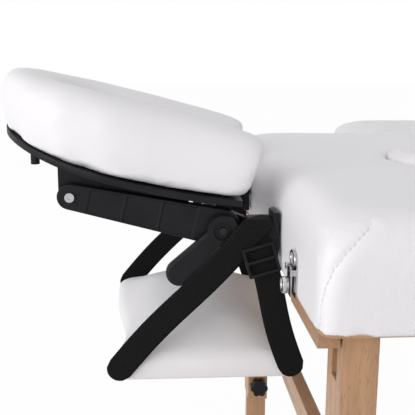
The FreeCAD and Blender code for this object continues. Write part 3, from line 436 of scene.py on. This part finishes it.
def rubber_finish(name, colour):
    """Matt rubber, dusty in patches."""
    finish = Finish(name, roughness=0.8)
    light, dark = shades([part * 1.9 for part in colour], 0.45)
    dust = finish.noise(45.0, 4.0)
    finish.set(Base_Color=finish.mix(finish.level(dust, 0.35, 0.7), dark, light))
    finish.set(Roughness=0.68 + 0.2 * dust)
    finish.bump(finish.noise(800.0, 2.0), 0.25, 0.0003)
    return finish.material


def thread_finish(name, colour):
    """Twisted sewing thread."""
    finish = Finish(name, roughness=0.6)
    light, dark = shades(colour, 0.8)
    twist = finish.noise(2200.0, 1.0)
    finish.set(Base_Color=finish.mix(twist, light, dark))
    finish.set(Roughness=0.5 + 0.2 * twist)
    return finish.material


MADE = {}


def material(name):
    """The finish of this name, made when it is first asked for."""
    look = bpy.context.scene.table_finishes
    makers = {
        "cover_vinyl": (vinyl_finish, look.vinyl, look.grain),
        "beech_lengthwise": (beech_finish, look.beech, "X"),
        "beech_crosswise": (beech_finish, look.beech, "Y"),
        "beech_upright": (beech_finish, look.beech, "Z"),
        "deck_plywood": (plywood_finish, look.plywood),
        "cradle_plastic": (plastic_finish, look.plastic),
        "strap_webbing": (webbing_finish, look.webbing),
        "zinc_steel": (metal_finish, look.steel, 0.34, 900.0),
        "black_steel": (metal_finish, look.black_steel, 0.45, 900.0),
        "bright_chrome": (metal_finish, look.chrome, 0.12, 1400.0),
        "foot_rubber": (rubber_finish, look.rubber),
        "seam_thread": (thread_finish, look.thread),
    }
    if name not in MADE:
        maker, *values = makers[name]
        MADE[name] = maker(name, *values)
    return MADE[name]


def dress(node, material_name):
    """Give a CAD node a finish in place of its plain colour."""
    mesh = NODES[node].data
    mesh.materials.clear()
    mesh.materials.append(material(material_name))


# What a user would change


def colour_property(name, description, default):
    return FloatVectorProperty(
        name=name, description=description, default=default, subtype="COLOR", size=3, min=0, max=1
    )


class TableFinishes(bpy.types.PropertyGroup):
    """Colours and grain of the finishes."""

    vinyl: colour_property("Cover", "Colour of the upholstery cover", (0.845, 0.828, 0.85))
    grain: FloatProperty(name="Grain", description="Pebbles of the cover's grain per metre", default=620.0)
    beech: colour_property("Beech", "Colour of the rails and legs", (0.55, 0.31, 0.168))
    plywood: colour_property("Plywood", "Colour of the decks", (0.58, 0.40, 0.22))
    plastic: colour_property("Plastic", "Colour of the cradle and knobs", (0.0085, 0.0083, 0.0102))
    webbing: colour_property("Webbing", "Colour of the shelf straps", (0.0075, 0.0075, 0.0078))
    steel: colour_property("Steel", "Colour of hinges, pegs and bolts", (0.56, 0.56, 0.58))
    black_steel: colour_property("Black steel", "Colour of the blackened cam bolt", (0.035, 0.035, 0.037))
    chrome: colour_property("Chrome", "Colour of the latches and screws", (0.52, 0.52, 0.54))
    rubber: colour_property("Rubber", "Colour of the feet", (0.022, 0.022, 0.022))
    thread: colour_property("Thread", "Colour of the seam stitches", (0.88, 0.87, 0.88))


class TableUpholstery(bpy.types.PropertyGroup):
    """Sizes of the soft pieces."""

    pad_mesh: FloatProperty(
        name="Pad mesh", description="Mesh size of the table pads", default=0.005, subtype="DISTANCE"
    )
    cushion_mesh: FloatProperty(
        name="Cushion mesh", description="Mesh size of cushions", default=0.0045, subtype="DISTANCE"
    )
    cover_wall: FloatProperty(
        name="Cover wall", description="Thickness of the cover where it wraps the rails",
        default=0.0025, subtype="DISTANCE",
    )
    stitch_pitch: FloatProperty(
        name="Stitch pitch", description="Distance between corner stitches",
        default=0.0056, subtype="DISTANCE",
    )
    pressure: FloatProperty(
        name="Pressure", description="Cloth pressure that fills the cushions", default=4.0
    )


class TableStage(bpy.types.PropertyGroup):
    """Camera and light."""

    lens: FloatProperty(name="Lens", description="Focal length in millimetres", default=55.8)
    key_power: FloatProperty(
        name="Key", description="Power of the front softbox", default=258.0, subtype="POWER"
    )
    top_power: FloatProperty(
        name="Top", description="Power of the overhead softbox", default=6.0, subtype="POWER"
    )
    fill: FloatProperty(name="Fill", description="Brightness of the surrounding light", default=0.54)


# Stage


def seen_directly(finish):
    """1 for rays from the camera, a mirror or a clear surface."""
    rays = [
        finish.node("ShaderNodeLightPath", {}, {}, ray)
        for ray in ("Is Camera Ray", "Is Glossy Ray", "Is Transmission Ray")
    ]
    return rays[0].math("MAXIMUM", rays[0].math("MAXIMUM", rays[0], rays[1]), rays[2])


class TABLE_OT_stage(bpy.types.Operator):
    """Camera, floor, lamps and surroundings"""

    bl_idname = "table.stage"
    bl_label = "Stage"

    # Places in millimetres from the head end and the table top, angles in degrees
    CAMERA_PLACE = (-135.9, -810.5, 133.9)
    CAMERA_DOWN = 10.05
    CAMERA_TURN = -2.75
    CAMERA_SHIFT = (0.05, -0.10)
    SENSOR_WIDTH = 36
    NEAREST_SEEN = 0.02
    KEY_PLACE = (-4000, -3300, 700)
    KEY_TARGET = (0, 0, -40)
    KEY_SIZE = 6.0
    TOP_PLACE = (500, -300, 2300)
    TOP_TARGET = (500, 0, 0)
    TOP_SIZE = 2.6
    FLOOR_SIZE = 30
    FLOOR_DROP = 0.0005
    FLOOR_COLOUR = (0.86, 0.86, 0.86)
    # Share of plain white in the floor as it is seen; the rest shows the shadow
    FLOOR_WHITE = 0.97

    def execute(self, context):
        look = context.scene.table_stage
        context.scene.view_settings.view_transform = "Standard"
        self.place_camera(context, look)
        self.lay_floor()
        self.hang_softbox("key_softbox", self.KEY_PLACE, self.KEY_TARGET, self.KEY_SIZE, look.key_power)
        self.hang_softbox("top_softbox", self.TOP_PLACE, self.TOP_TARGET, self.TOP_SIZE, look.top_power)
        self.light_surroundings(context, look.fill)
        return {"FINISHED"}

    def place_camera(self, context, look):
        select_only(None)
        turn = (math.radians(90 - self.CAMERA_DOWN), 0, math.radians(self.CAMERA_TURN))
        bpy.ops.object.camera_add(location=from_head(*self.CAMERA_PLACE), rotation=turn)
        camera = context.object
        camera.data.lens = look.lens
        camera.data.sensor_width = self.SENSOR_WIDTH
        camera.data.shift_x, camera.data.shift_y = self.CAMERA_SHIFT
        camera.data.clip_start = self.NEAREST_SEEN
        context.scene.camera = camera

    def lay_floor(self):
        select_only(None)
        bpy.ops.mesh.primitive_plane_add(size=self.FLOOR_SIZE, location=(0, 0, -self.FLOOR_DROP))
        floor = named("studio_floor")
        bpy.ops.object.transform_apply(location=True, rotation=True, scale=True)
        finish = Finish("pale_floor", roughness=0.9)
        finish.set(Base_Color=self.FLOOR_COLOUR)
        glow = finish.node("ShaderNodeEmission", {}, {"Color": (1, 1, 1), "Strength": 1.0}, "Emission")
        share = seen_directly(finish) * self.FLOOR_WHITE
        lit = Value(finish, finish.shader.outputs[0])
        shown = finish.node("ShaderNodeMixShader", {}, {0: share, 1: lit, 2: glow}, "Shader")
        finish.feed(finish.tree.nodes["Material Output"].inputs["Surface"], shown)
        floor.data.materials.append(finish.material)

    def hang_softbox(self, name, place, target, size, power):
        select_only(None)
        place, target = from_head(*place), from_head(*target)
        bpy.ops.object.light_add(type="AREA", location=place)
        lamp = named(name)
        lamp.data.shape = "SQUARE"
        lamp.data.size = size
        lamp.data.energy = power
        lamp.rotation_euler = (target - place).to_track_quat("-Z", "Y").to_euler()

    def light_surroundings(self, context, fill):
        world = bpy.data.worlds.new("studio_white")
        context.scene.world = world
        world.use_nodes = True
        tree = world.node_tree
        backdrop = tree.nodes["Background"]
        backdrop.inputs["Color"].default_value = (1, 1, 1, 1)
        path = tree.nodes.new("ShaderNodeLightPath")
        total = path.outputs["Is Camera Ray"]
        for ray in ("Is Glossy Ray", "Is Transmission Ray"):
            both = tree.nodes.new("ShaderNodeMath")
            both.operation = "MAXIMUM"
            tree.links.new(total, both.inputs[0])
            tree.links.new(path.outputs[ray], both.inputs[1])
            total = both.outputs[0]
        strength = tree.nodes.new("ShaderNodeMapRange")
        strength.inputs["To Min"].default_value = fill
        strength.inputs["To Max"].default_value = 1.0
        tree.links.new(total, strength.inputs["Value"])
        tree.links.new(strength.outputs["Result"], backdrop.inputs["Strength"])


# Table pads and their corner seams

# Line of the corner dart on a long side: distance from the end and height below the top, in millimetres
DART = ((2.5, -103), (2.5, -80), (5, -60), (10, -44), (19, -31), (32, -19), (46, -9))


def dart_points(end_x, inwards):
    """The dart's line near one end, as pairs of X and Z in metres."""
    return [(end_x + inwards * x * MILLIMETRE, TABLE_TOP + z * MILLIMETRE) for x, z in DART]


def distance_along(line, x, z):
    """Distance of a point to a line of X and Z pairs, and how far along it lies."""
    best, best_along, run = 1e9, 0.0, 0.0
    for (x0, z0), (x1, z1) in zip(line, line[1:]):
        dx, dz = x1 - x0, z1 - z0
        length = math.hypot(dx, dz)
        share = max(0.0, min(1.0, ((x - x0) * dx + (z - z0) * dz) / length**2))
        away = math.hypot(x - x0 - share * dx, z - z0 - share * dz)
        if away < best:
            best, best_along = away, run + share * length
        run += length
    return best, best_along


def point_along(line, distance):
    """The X and Z at a distance along a line of pairs."""
    for (x0, z0), (x1, z1) in zip(line, line[1:]):
        length = math.hypot(x1 - x0, z1 - z0)
        if distance <= length:
            share = distance / length
            return x0 + share * (x1 - x0), z0 + share * (z1 - z0)
        distance -= length
    return line[-1]


class TABLE_OT_pads(bpy.types.Operator):
    """The two padded halves of the top, with sewn corner darts"""

    bl_idname = "table.pads"
    bl_label = "Table pads"

    SMOOTHING = 12
    RIPPLE = 0.0010
    RIPPLE_SCALE = 14.0
    FILLER_MARGIN = 0.001
    # Cover this near to a long side, and turned towards it by this much, is sewn
    SEWN_BAND = 0.03
    SEWN_TURN = 0.3
    # Distances from a dart within which the mesh is refined twice, smoothed and pressed
    REFINED = (0.026, 0.014)
    SMOOTHED = 0.04
    PRESSED = 0.03
    # Heights and widths of the groove, of the gathers and of the roll beside them
    SINK, SINK_WIDTH = 0.0007, 0.0022
    PUCKER, PUCKER_WIDTH = 0.0002, 0.005
    ROLL, ROLL_WIDTH, ROLL_AWAY = 0.0004, 0.007, 0.009
    # Where a stitch begins and ends in its pitch, and a distance that is outside the cover
    STITCH_ENDS = (0.25, 0.75)
    OUTSIDE = 0.6
    THREAD_RADIUS = 0.0005
    THREAD_LIFT = 0.0004
    # Faces that close the cover lie this near the floor or the deck, and face up or down by this much
    CLOSING_BAND = 0.012
    CLOSING_TURN = 0.6
    HOLE_MARGIN = 0.006

    def execute(self, context):
        look = context.scene.table_upholstery
        for half, end_x, inwards in (("head", HEAD_END, 1), ("foot", FOOT_END, -1)):
            pad = self.cover_half(look, half)
            line = dart_points(end_x, inwards)
            self.sew_darts(look, pad, line)
            self.add_stitches(look, pad, line, half)
            self.open_underneath(look, pad, half)
            hand_over(pad, f"{half}_half", "white_vinyl", material("cover_vinyl"), f"{half}_pad")
        return {"FINISHED"}

    def cover_half(self, look, half):
        """The foam block with its cover, closed below for the remesh."""
        pad = copy_of_node(f"{half}_pad", f"{half}_cover")
        low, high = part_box(f"{half}_deck")
        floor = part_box(f"{half}_pad")[0].z
        margin = self.FILLER_MARGIN
        filler = add_block(
            "filler", (low.x - margin, low.y - margin, floor), (high.x + margin, high.y + margin, low.z)
        )
        join(pad, filler)
        soften(pad, look.pad_mesh, self.SMOOTHING)

        def ripple(place, normal):
            return self.RIPPLE * smooth_noise(place, self.RIPPLE_SCALE) * max(0.0, normal.z + 0.4)

        push(pad, ripple)
        return pad

    def sew_darts(self, look, pad, line):
        """Refine the cover beside the darts, sink the seam and gather the cover at each stitch."""
        side = abs(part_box("head_pad")[0].y) - self.SEWN_BAND

        def beside(reach):
            def test(face):
                place = face.center
                return abs(place.y) > side and distance_along(line, place.x, place.z)[0] < reach

            return test

        for reach in self.REFINED:
            edit_faces(pad, beside(reach), bpy.ops.mesh.subdivide, number_cuts=1, smoothness=0.0)
        edit_faces(
            pad, beside(self.SMOOTHED), bpy.ops.mesh.vertices_smooth, factor=0.5, repeat=self.SMOOTHING
        )

        def seam(place, normal):
            if abs(place.y) < side or abs(normal.y) < self.SEWN_TURN:
                return 0.0
            away, along = distance_along(line, place.x, place.z)
            if away > self.PRESSED:
                return 0.0
            gather = 0.5 + 0.5 * math.cos(math.tau * along / look.stitch_pitch)
            sink = -self.SINK * bell(away, self.SINK_WIDTH)
            pucker = -self.PUCKER * gather * bell(away, self.PUCKER_WIDTH)
            roll = self.ROLL * bell(away - self.ROLL_AWAY, self.ROLL_WIDTH)
            return sink + pucker + roll

        push(pad, seam)

    def add_stitches(self, look, pad, line, half):
        """A row of short threads along each dart."""
        tree = BVHTree.FromPolygons(
            [vertex.co for vertex in pad.data.vertices], [face.vertices for face in pad.data.polygons]
        )
        stitches = []
        for hand in (NEAR, FAR):
            for place, heading, normal in self.stitch_places(look, tree, line, hand):
                stitches.append(self.thread(place, heading, normal))
        row = stitches[0]
        join(row, *stitches[1:])
        row.name = f"{half}_corner_stitches"
        hand_over(row, f"{half}_half", "white_vinyl", material("seam_thread"))

    def stitch_places(self, look, tree, line, hand):
        """Middle, heading and normal of each stitch, found on the cover."""
        total = sum(math.hypot(b[0] - a[0], b[1] - a[1]) for a, b in zip(line, line[1:]))
        count = int(total / look.stitch_pitch)
        found = []
        for number in range(count):
            spots = [point_along(line, (number + end) * look.stitch_pitch) for end in self.STITCH_ENDS]
            starts = [Vector((x, hand * self.OUTSIDE, z)) for x, z in spots]
            first, last = [tree.ray_cast(start, Vector((0, -hand, 0))) for start in starts]
            if first[0] and last[0]:
                found.append(((first[0] + last[0]) / 2, last[0] - first[0], first[1]))
        return found

    def thread(self, place, heading, normal):
        """One stitch: a short capsule lying in the seam."""
        select_only(None)
        bpy.ops.mesh.primitive_uv_sphere_add(segments=8, ring_count=6, radius=self.THREAD_RADIUS)
        piece = named("stitch")
        for vertex in piece.data.vertices:
            if abs(vertex.co.z) > SAME_PLACE:
                vertex.co.z += math.copysign(heading.length / 2, vertex.co.z)
        piece.rotation_mode = "QUATERNION"
        piece.rotation_quaternion = heading.to_track_quat("Z", "Y")
        piece.location = place + normal * self.THREAD_LIFT
        bpy.ops.object.transform_apply(location=True, rotation=True, scale=True)
        return piece

    def open_underneath(self, look, pad, half):
        """Take away the closing faces below and give the cover its wall."""
        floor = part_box(f"{half}_pad")[0].z
        hole_low, hole_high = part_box("face_hole_plug")
        hole = (hole_low + hole_high) / 2
        reach = (hole_high.x - hole_low.x) / 2 - self.HOLE_MARGIN
        deck_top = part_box(f"{half}_deck")[1].z

        def closes(face):
            if face.normal.z < -self.CLOSING_TURN:
                return face.center.z < floor + self.CLOSING_BAND
            if face.normal.z > self.CLOSING_TURN:
                in_hole = (face.center.xy - hole.xy).length < reach
                return in_hole and face.center.z < deck_top + self.CLOSING_BAND
            return False

        edit_faces(pad, closes, bpy.ops.mesh.delete, type="FACE")
        change(pad, "SOLIDIFY", thickness=look.cover_wall, offset=-1.0)


class TABLE_OT_hole_plug(bpy.types.Operator):
    """Domed plug in the breathing hole"""

    bl_idname = "table.hole_plug"
    bl_label = "Hole plug"

    MESH = 0.0035
    SMOOTHING = 4

    def execute(self, context):
        plug = copy_of_node("face_hole_plug", "breathing_hole_plug")
        soften(plug, self.MESH, self.SMOOTHING)
        hand_over(plug, "hole_plug", "white_vinyl", material("cover_vinyl"), "face_hole_plug")
        return {"FINISHED"}


class TABLE_OT_armrests(bpy.types.Operator):
    """Padded side armrests"""

    bl_idname = "table.armrests"
    bl_label = "Side armrests"

    # Shares of the cushions' mesh size and pressure
    MESH_SHARE = 1.2
    PRESSURE_SHARE = 0.6
    SMOOTHING = 5
    SWELL_CAP = 0.003
    HELD_HEIGHT = 0.012

    def execute(self, context):
        look = context.scene.table_upholstery
        for side in ("near", "far"):
            pad = copy_of_node(f"armrest_{side}_pad", f"armrest_{side}_cushion")
            soften(pad, look.cushion_mesh * self.MESH_SHARE, self.SMOOTHING)
            held_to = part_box(f"armrest_{side}_pad")[0].z + self.HELD_HEIGHT
            pressure = look.pressure * self.PRESSURE_SHARE
            swell(pad, pressure, self.SWELL_CAP, lambda place, normal: place.z < held_to)
            hand_over(pad, f"armrest_{side}", "white_vinyl", material("cover_vinyl"), f"armrest_{side}_pad")
        return {"FINISHED"}


class TABLE_OT_face_cushion(bpy.types.Operator):
    """Horseshoe face cushion, full and softly creased"""

    bl_idname = "table.face_cushion"
    bl_label = "Face cushion"

    SMOOTHING = 10
    LAST_SMOOTHING = 6
    # The cover is taken in, all but its underside, so that the fill brings it back to size
    TAKE_IN = 0.0025
    TAKEN_IN_FROM = -0.5
    SWELL_CAP = 0.006
    HELD_BELOW = -0.6
    LUMP = 0.0012
    LUMP_SCALE = 26.0
    # Folds of the hem: number in a full round, start and share of the height
    HEM_FOLDS = ((9, 0.6, 1.0), (17, 1.9, 0.3))
    HEM_WAVE = 0.004
    HEM_FROM = 0.25
    HEM_FADE = 1.6
    UNDERSIDE = -0.8
    # How far the front sinks at its crown and at its hem, and over what length
    CROWN_SINK = 0.0115
    HEM_SINK = 0.0025
    SINK_REACH = 0.22

    def execute(self, context):
        look = context.scene.table_upholstery
        cushion = copy_of_node("face_cushion", "face_rest_cushion")
        soften(cushion, look.cushion_mesh, self.SMOOTHING)
        push(cushion, lambda place, normal: -self.TAKE_IN if normal.z > self.TAKEN_IN_FROM else 0.0)
        swell(cushion, look.pressure, self.SWELL_CAP, lambda place, normal: normal.z < self.HELD_BELOW)
        push(cushion, self.lump)
        self.settle_front(cushion)
        self.gather_hem(cushion)
        change(cushion, "SMOOTH", factor=0.5, iterations=self.LAST_SMOOTHING)
        change(cushion, "SUBSURF", levels=1, render_levels=1)
        hand_over(cushion, "cradle_head", "white_vinyl", material("cover_vinyl"), "face_cushion")
        return {"FINISHED"}

    def lump(self, place, normal):
        """Slight unevenness of the fill, on the upper side."""
        return self.LUMP * smooth_noise(place, self.LUMP_SCALE) * max(0.0, normal.z + 0.5)

    def settle_front(self, cushion):
        """Let the front of the soft cushion sink, its crown more than its hem."""
        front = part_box("face_cushion")[0].x
        for vertex in cushion.data.vertices:
            near = max(0.0, 1.0 - (vertex.co.x - front) / self.SINK_REACH)
            crown = 0.5 + 0.5 * vertex.normal.z
            sink = self.HEM_SINK + (self.CROWN_SINK - self.HEM_SINK) * crown
            vertex.co.z -= sink * near * near * (3 - 2 * near)
        cushion.data.update()

    def gather_hem(self, cushion):
        """Let the lower edge of the cover rise and fall where it is drawn under."""
        low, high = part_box("face_cushion")
        centre = (low + high) / 2
        for vertex in cushion.data.vertices:
            turned_under = max(0.0, min(1.0, (self.HEM_FROM - vertex.normal.z) * self.HEM_FADE))
            if vertex.normal.z < self.UNDERSIDE or not turned_under:
                continue
            angle = math.atan2(vertex.co.y - centre.y, vertex.co.x - centre.x)
            wave = sum(share * math.sin(count * angle + start) for count, start, share in self.HEM_FOLDS)
            vertex.co.z += self.HEM_WAVE * turned_under * (wave + 1.0) / 2
        cushion.data.update()


class TABLE_OT_arm_shelf(bpy.types.Operator):
    """Crowned pad of the hanging arm shelf"""

    bl_idname = "table.arm_shelf"
    bl_label = "Arm shelf"

    SMOOTHING = 8
    # The cover is taken in, more at its two ends, so that the fill brings it back to size
    TAKE_IN = 0.002
    END_TAKE_IN = 0.003
    SWELL_CAP = 0.005
    HELD_HEIGHT = 0.015
    # Depth, middle and half width of the hollow in the front edge, and the length over which it fades
    WAIST = 0.018
    WAIST_MIDDLE = -0.05
    WAIST_REACH = 0.085
    FADE = 0.12

    def execute(self, context):
        look = context.scene.table_upholstery
        shelf = copy_of_node("arm_shelf", "arm_shelf_pad")
        soften(shelf, look.cushion_mesh, self.SMOOTHING)
        held_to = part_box("arm_shelf")[0].z + self.HELD_HEIGHT
        push(shelf, lambda place, normal: -self.TAKE_IN if abs(normal.y) < 0.7 else -self.END_TAKE_IN)
        self.hollow_front(shelf)

        def held(place, normal):
            return place.z < held_to or abs(normal.y) > 0.8

        swell(shelf, look.pressure, self.SWELL_CAP, held)
        hand_over(shelf, "arm_sling", "white_vinyl", material("cover_vinyl"), "arm_shelf")
        return {"FINISHED"}

    def hollow_front(self, shelf):
        """Draw the front edge in between its corners, fading out over the first part of the top."""
        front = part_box("arm_shelf")[0].x
        for vertex in shelf.data.vertices:
            depth = (vertex.co.x - front) / self.FADE
            across = bell(vertex.co.y - self.WAIST_MIDDLE, self.WAIST_REACH)
            vertex.co.x += self.WAIST * across * max(0.0, 1.0 - depth)
        shelf.data.update()


class TABLE_OT_straps(bpy.types.Operator):
    """Webbing straps of the arm shelf, a V over each post of the cradle base"""

    bl_idname = "table.straps"
    bl_label = "Shelf straps"

    # Sizes in millimetres, places as X and Z from the head end and the table top
    PEAK = (-32.0, -56.0)
    FRONT_FOOT = (-178.0, -214.0)
    REAR_FOOT = (14.0, -214.0)
    HALF_WIDTH = 15.0
    POST_TOP = -45.2
    FLANGE_FACE = -10.8
    FOLD = 34.0
    LAYER = 0.45
    THICKNESS = 1.1
    # How far each run bows out, sways in its own plane and ripples
    FRONT_BOW = 0.6
    REAR_BOW = -0.3
    SWAY = 2.2
    RIPPLE = 0.1
    RIPPLE_RATE = 17
    COLUMNS = 10
    ROWS = 60
    # Points of the rounded ends that fall together
    MERGED = 0.2

    def execute(self, context):
        for side, hand in (("near", NEAR), ("far", FAR)):
            inner, outer = sorted(abs(corner.y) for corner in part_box(f"shelf_strap_{side}"))
            middle = (inner + outer) / 2 / MILLIMETRE
            strap = self.strand(self.FRONT_FOOT, hand, middle + self.LAYER, self.FRONT_BOW)
            join(strap, self.strand(self.REAR_FOOT, hand, middle - self.LAYER, self.REAR_BOW))
            strap.name = f"webbing_strap_{side}"
            hand_over(strap, "arm_sling", "webbing", material("strap_webbing"), f"shelf_strap_{side}")
            loop = self.strand(self.FRONT_FOOT, hand, middle + 3 * self.LAYER, 0.0, over_post=True)
            loop.name = f"strap_loop_{side}"
            hand_over(loop, "cradle_mount", "webbing", material("strap_webbing"))
        return {"FINISHED"}

    def strand(self, foot, hand, offset, bow, over_post=False):
        """A strip from its foot to the peak, or on over the post, mapped in metres for the weave."""
        select_only(None)
        bpy.ops.mesh.primitive_grid_add(
            x_subdivisions=self.COLUMNS, y_subdivisions=self.ROWS, size=2, calc_uvs=True
        )
        piece = named("strand")
        run_x, run_z = self.PEAK[0] - foot[0], self.PEAK[1] - foot[1]
        length = math.hypot(run_x, run_z)
        ux, uz = run_x / length, run_z / length
        shown = self.FOLD if over_post else length
        chart = piece.data.uv_layers.active.data
        flat = [vertex.co.copy() for vertex in piece.data.vertices]
        for face in piece.data.polygons:
            for loop in face.loop_indices:
                spot = flat[piece.data.loops[loop].vertex_index]
                chart[loop].uv = ((spot.x + 1) / 2, (spot.y + 1) / 2 * shown * MILLIMETRE)
        for vertex, spot in zip(piece.data.vertices, flat):
            across = spot.x * self.HALF_WIDTH
            cap = math.sqrt(max(0.0, self.HALF_WIDTH**2 - across**2))
            share = (spot.y + 1) / 2
            begin, end = (length, length + self.FOLD) if over_post else (-cap, length + cap)
            along = begin + share * (end - begin)
            belly = bow * math.sin(math.pi * share) + self.RIPPLE * math.sin(share * self.RIPPLE_RATE)
            across += 0.0 if over_post else self.SWAY * math.sin(math.tau * share)
            x = foot[0] + ux * along - uz * across
            z = foot[1] + uz * along + ux * across
            over = max(0.0, z - self.POST_TOP)
            limit = self.FLANGE_FACE if over_post else x
            vertex.co = from_head(min(x, limit), hand * (offset + belly - over), z - over)
        piece.data.update()
        select_only(piece)
        bpy.ops.object.mode_set(mode="EDIT")
        bpy.ops.mesh.select_all(action="SELECT")
        bpy.ops.mesh.remove_doubles(threshold=self.MERGED * MILLIMETRE)
        bpy.ops.object.mode_set(mode="OBJECT")
        change(piece, "SOLIDIFY", thickness=self.THICKNESS * MILLIMETRE, offset=0.0)
        return piece


class TABLE_OT_latches(bpy.types.Operator):
    """Wire loop over each case latch, and the thumb disc on its lever"""

    bl_idname = "table.latches"
    bl_label = "Case latches"

    LOOP_RADIUS = 0.007
    LOOP_WIRE = 0.0013
    LOOP_RISE = 0.0089
    LOOP_STRETCH = 1.35
    DISC_RADIUS = 0.0085
    DISC_THICKNESS = 0.006
    DISC_RISE = 0.010
    DISC_EDGE = 0.0006
    # Widths of the rim and of the slope inside it, and the depth of the dish
    RIM = 0.0018
    SLOPE = 0.0012
    DISH = 0.0016
    SMOOTH_UP_TO = math.radians(35)
    # From the ears of the plate back to its face, less most of the wire
    PLATE_FRONT = 0.005

    def execute(self, context):
        for side in ("near", "far"):
            low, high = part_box(f"latch_lever_{side}")
            middle = (low + high) / 2
            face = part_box("latch_plates")[0].x + self.PLATE_FRONT
            loop = self.bend_loop(Vector((face, middle.y, high.z + self.LOOP_RISE)))
            disc = self.turn_disc(Vector((low.x, middle.y, low.z + self.DISC_RISE)))
            loop.name = f"latch_loop_{side}"
            disc.name = f"latch_disc_{side}"
            hand_over(loop, "head_half", "chrome", material("bright_chrome"))
            hand_over(disc, f"latch_{side}", "chrome", material("bright_chrome"))
            for piece in (loop, disc):
                select_only(piece)
                bpy.ops.object.shade_smooth_by_angle(angle=self.SMOOTH_UP_TO)
        return {"FINISHED"}

    def bend_loop(self, place):
        """An oval wire loop that lies along the end of the table, on the plate."""
        select_only(None)
        bpy.ops.mesh.primitive_torus_add(
            location=place, rotation=(0, math.radians(90), 0), major_segments=40, minor_segments=10,
            major_radius=self.LOOP_RADIUS, minor_radius=self.LOOP_WIRE,
        )
        loop = named("loop")
        loop.scale = (1.0, self.LOOP_STRETCH, 1.0)
        bpy.ops.object.transform_apply(location=True, rotation=True, scale=True)
        return loop

    def turn_disc(self, place):
        """A round thumb disc with a dished face, standing out from the lever."""
        select_only(None)
        bpy.ops.mesh.primitive_cylinder_add(
            vertices=40, radius=self.DISC_RADIUS, depth=self.DISC_THICKNESS,
            location=place - Vector((self.DISC_THICKNESS / 2, 0, 0)), rotation=(0, math.radians(-90), 0),
        )
        disc = named("disc")
        bpy.ops.object.transform_apply(location=True, rotation=True, scale=True)
        front = place.x - self.DISC_THICKNESS

        def is_front(face):
            return abs(face.center.x - front) < SAME_PLACE

        edit_faces(disc, is_front, bpy.ops.mesh.inset, thickness=self.RIM, depth=0.0)
        edit_faces(
            disc, lambda face: is_front(face) and len(face.vertices) > 4,
            bpy.ops.mesh.inset, thickness=self.SLOPE, depth=-self.DISH,
        )
        change(disc, "BEVEL", width=self.DISC_EDGE, segments=2, limit_method="ANGLE")
        return disc


# Finishes of the rigid nodes


def ease_edges(node, width):
    """Round the hard edges of a CAD node with live modifiers, so that they catch light."""
    piece = NODES[node]
    weld = piece.modifiers.new("Weld", "WELD")
    weld.merge_threshold = SAME_PLACE
    bevel = piece.modifiers.new("Bevel", "BEVEL")
    bevel.width = width
    bevel.segments = 2
    bevel.limit_method = "ANGLE"
    bevel.angle_limit = math.radians(40)
    bevel.use_clamp_overlap = True
    bevel.harden_normals = True


class TABLE_OT_woodwork(bpy.types.Operator):
    """Grain along each rail, board and bar, and veneer on the decks"""

    bl_idname = "table.woodwork"
    bl_label = "Woodwork"

    EDGE = 0.0012

    def execute(self, context):
        for node, slot in SLOT_OF.items():
            if slot == "plywood":
                dress(node, "deck_plywood")
            elif slot == "beech":
                dress(node, self.grain_of(node))
                ease_edges(node, self.EDGE)
        return {"FINISHED"}

    def grain_of(self, node):
        """The beech whose grain runs along a node."""
        if node.endswith(("end_rail", "mid_rail", "crossbar")):
            return "beech_crosswise"
        if "leg" in node:
            return "beech_upright"
        return "beech_lengthwise"


class TABLE_OT_fittings(bpy.types.Operator):
    """Plastic of the cradle and knobs, plated metal and rubber feet"""

    bl_idname = "table.fittings"
    bl_label = "Fittings"

    FINISHES = {
        "black_plastic": "cradle_plastic",
        "steel": "zinc_steel",
        "chrome": "bright_chrome",
        "foot_rubber": "foot_rubber",
    }

    # Widths of the rounded edges
    EDGES = {"black_plastic": 0.0008, "foot_rubber": 0.0008, "chrome": 0.0003}

    # Metal that is blackened instead of plated
    BLACKENED = ("cam_bolt",)

    def execute(self, context):
        for node, slot in SLOT_OF.items():
            if node in self.BLACKENED:
                dress(node, "black_steel")
            elif slot in self.FINISHES:
                dress(node, self.FINISHES[slot])
            if slot in self.EDGES:
                ease_edges(node, self.EDGES[slot])
        return {"FINISHED"}


# Panel and registration


OPERATORS = (
    TABLE_OT_stage,
    TABLE_OT_pads,
    TABLE_OT_hole_plug,
    TABLE_OT_armrests,
    TABLE_OT_face_cushion,
    TABLE_OT_arm_shelf,
    TABLE_OT_straps,
    TABLE_OT_latches,
    TABLE_OT_woodwork,
    TABLE_OT_fittings,
)


class TABLE_PT_panel(bpy.types.Panel):
    """Lists the pieces of the table"""

    bl_idname = "TABLE_PT_panel"
    bl_label = "Massage table"
    bl_space_type = "VIEW_3D"
    bl_region_type = "UI"
    bl_category = "Massage table"

    def draw(self, context):
        for operator in OPERATORS:
            self.layout.operator(operator.bl_idname)
        scene = context.scene
        for group in (scene.table_finishes, scene.table_upholstery, scene.table_stage):
            box = self.layout.box()
            for key in group.bl_rna.properties.keys():
                if key not in ("rna_type", "name"):
                    box.prop(group, key)


CLASSES = (TableFinishes, TableUpholstery, TableStage, *OPERATORS, TABLE_PT_panel)


def register():
    for item in CLASSES:
        bpy.utils.register_class(item)
    bpy.types.Scene.table_finishes = PointerProperty(type=TableFinishes)
    bpy.types.Scene.table_upholstery = PointerProperty(type=TableUpholstery)
    bpy.types.Scene.table_stage = PointerProperty(type=TableStage)


def unregister():
    del bpy.types.Scene.table_stage
    del bpy.types.Scene.table_upholstery
    del bpy.types.Scene.table_finishes
    for item in reversed(CLASSES):
        bpy.utils.unregister_class(item)


def main():
    register()
    bpy.ops.table.stage()
    bpy.ops.table.pads()
    bpy.ops.table.hole_plug()
    bpy.ops.table.armrests()
    bpy.ops.table.face_cushion()
    bpy.ops.table.arm_shelf()
    bpy.ops.table.straps()
    bpy.ops.table.latches()
    bpy.ops.table.woodwork()
    bpy.ops.table.fittings()


if __name__ == "__main__":
    main()
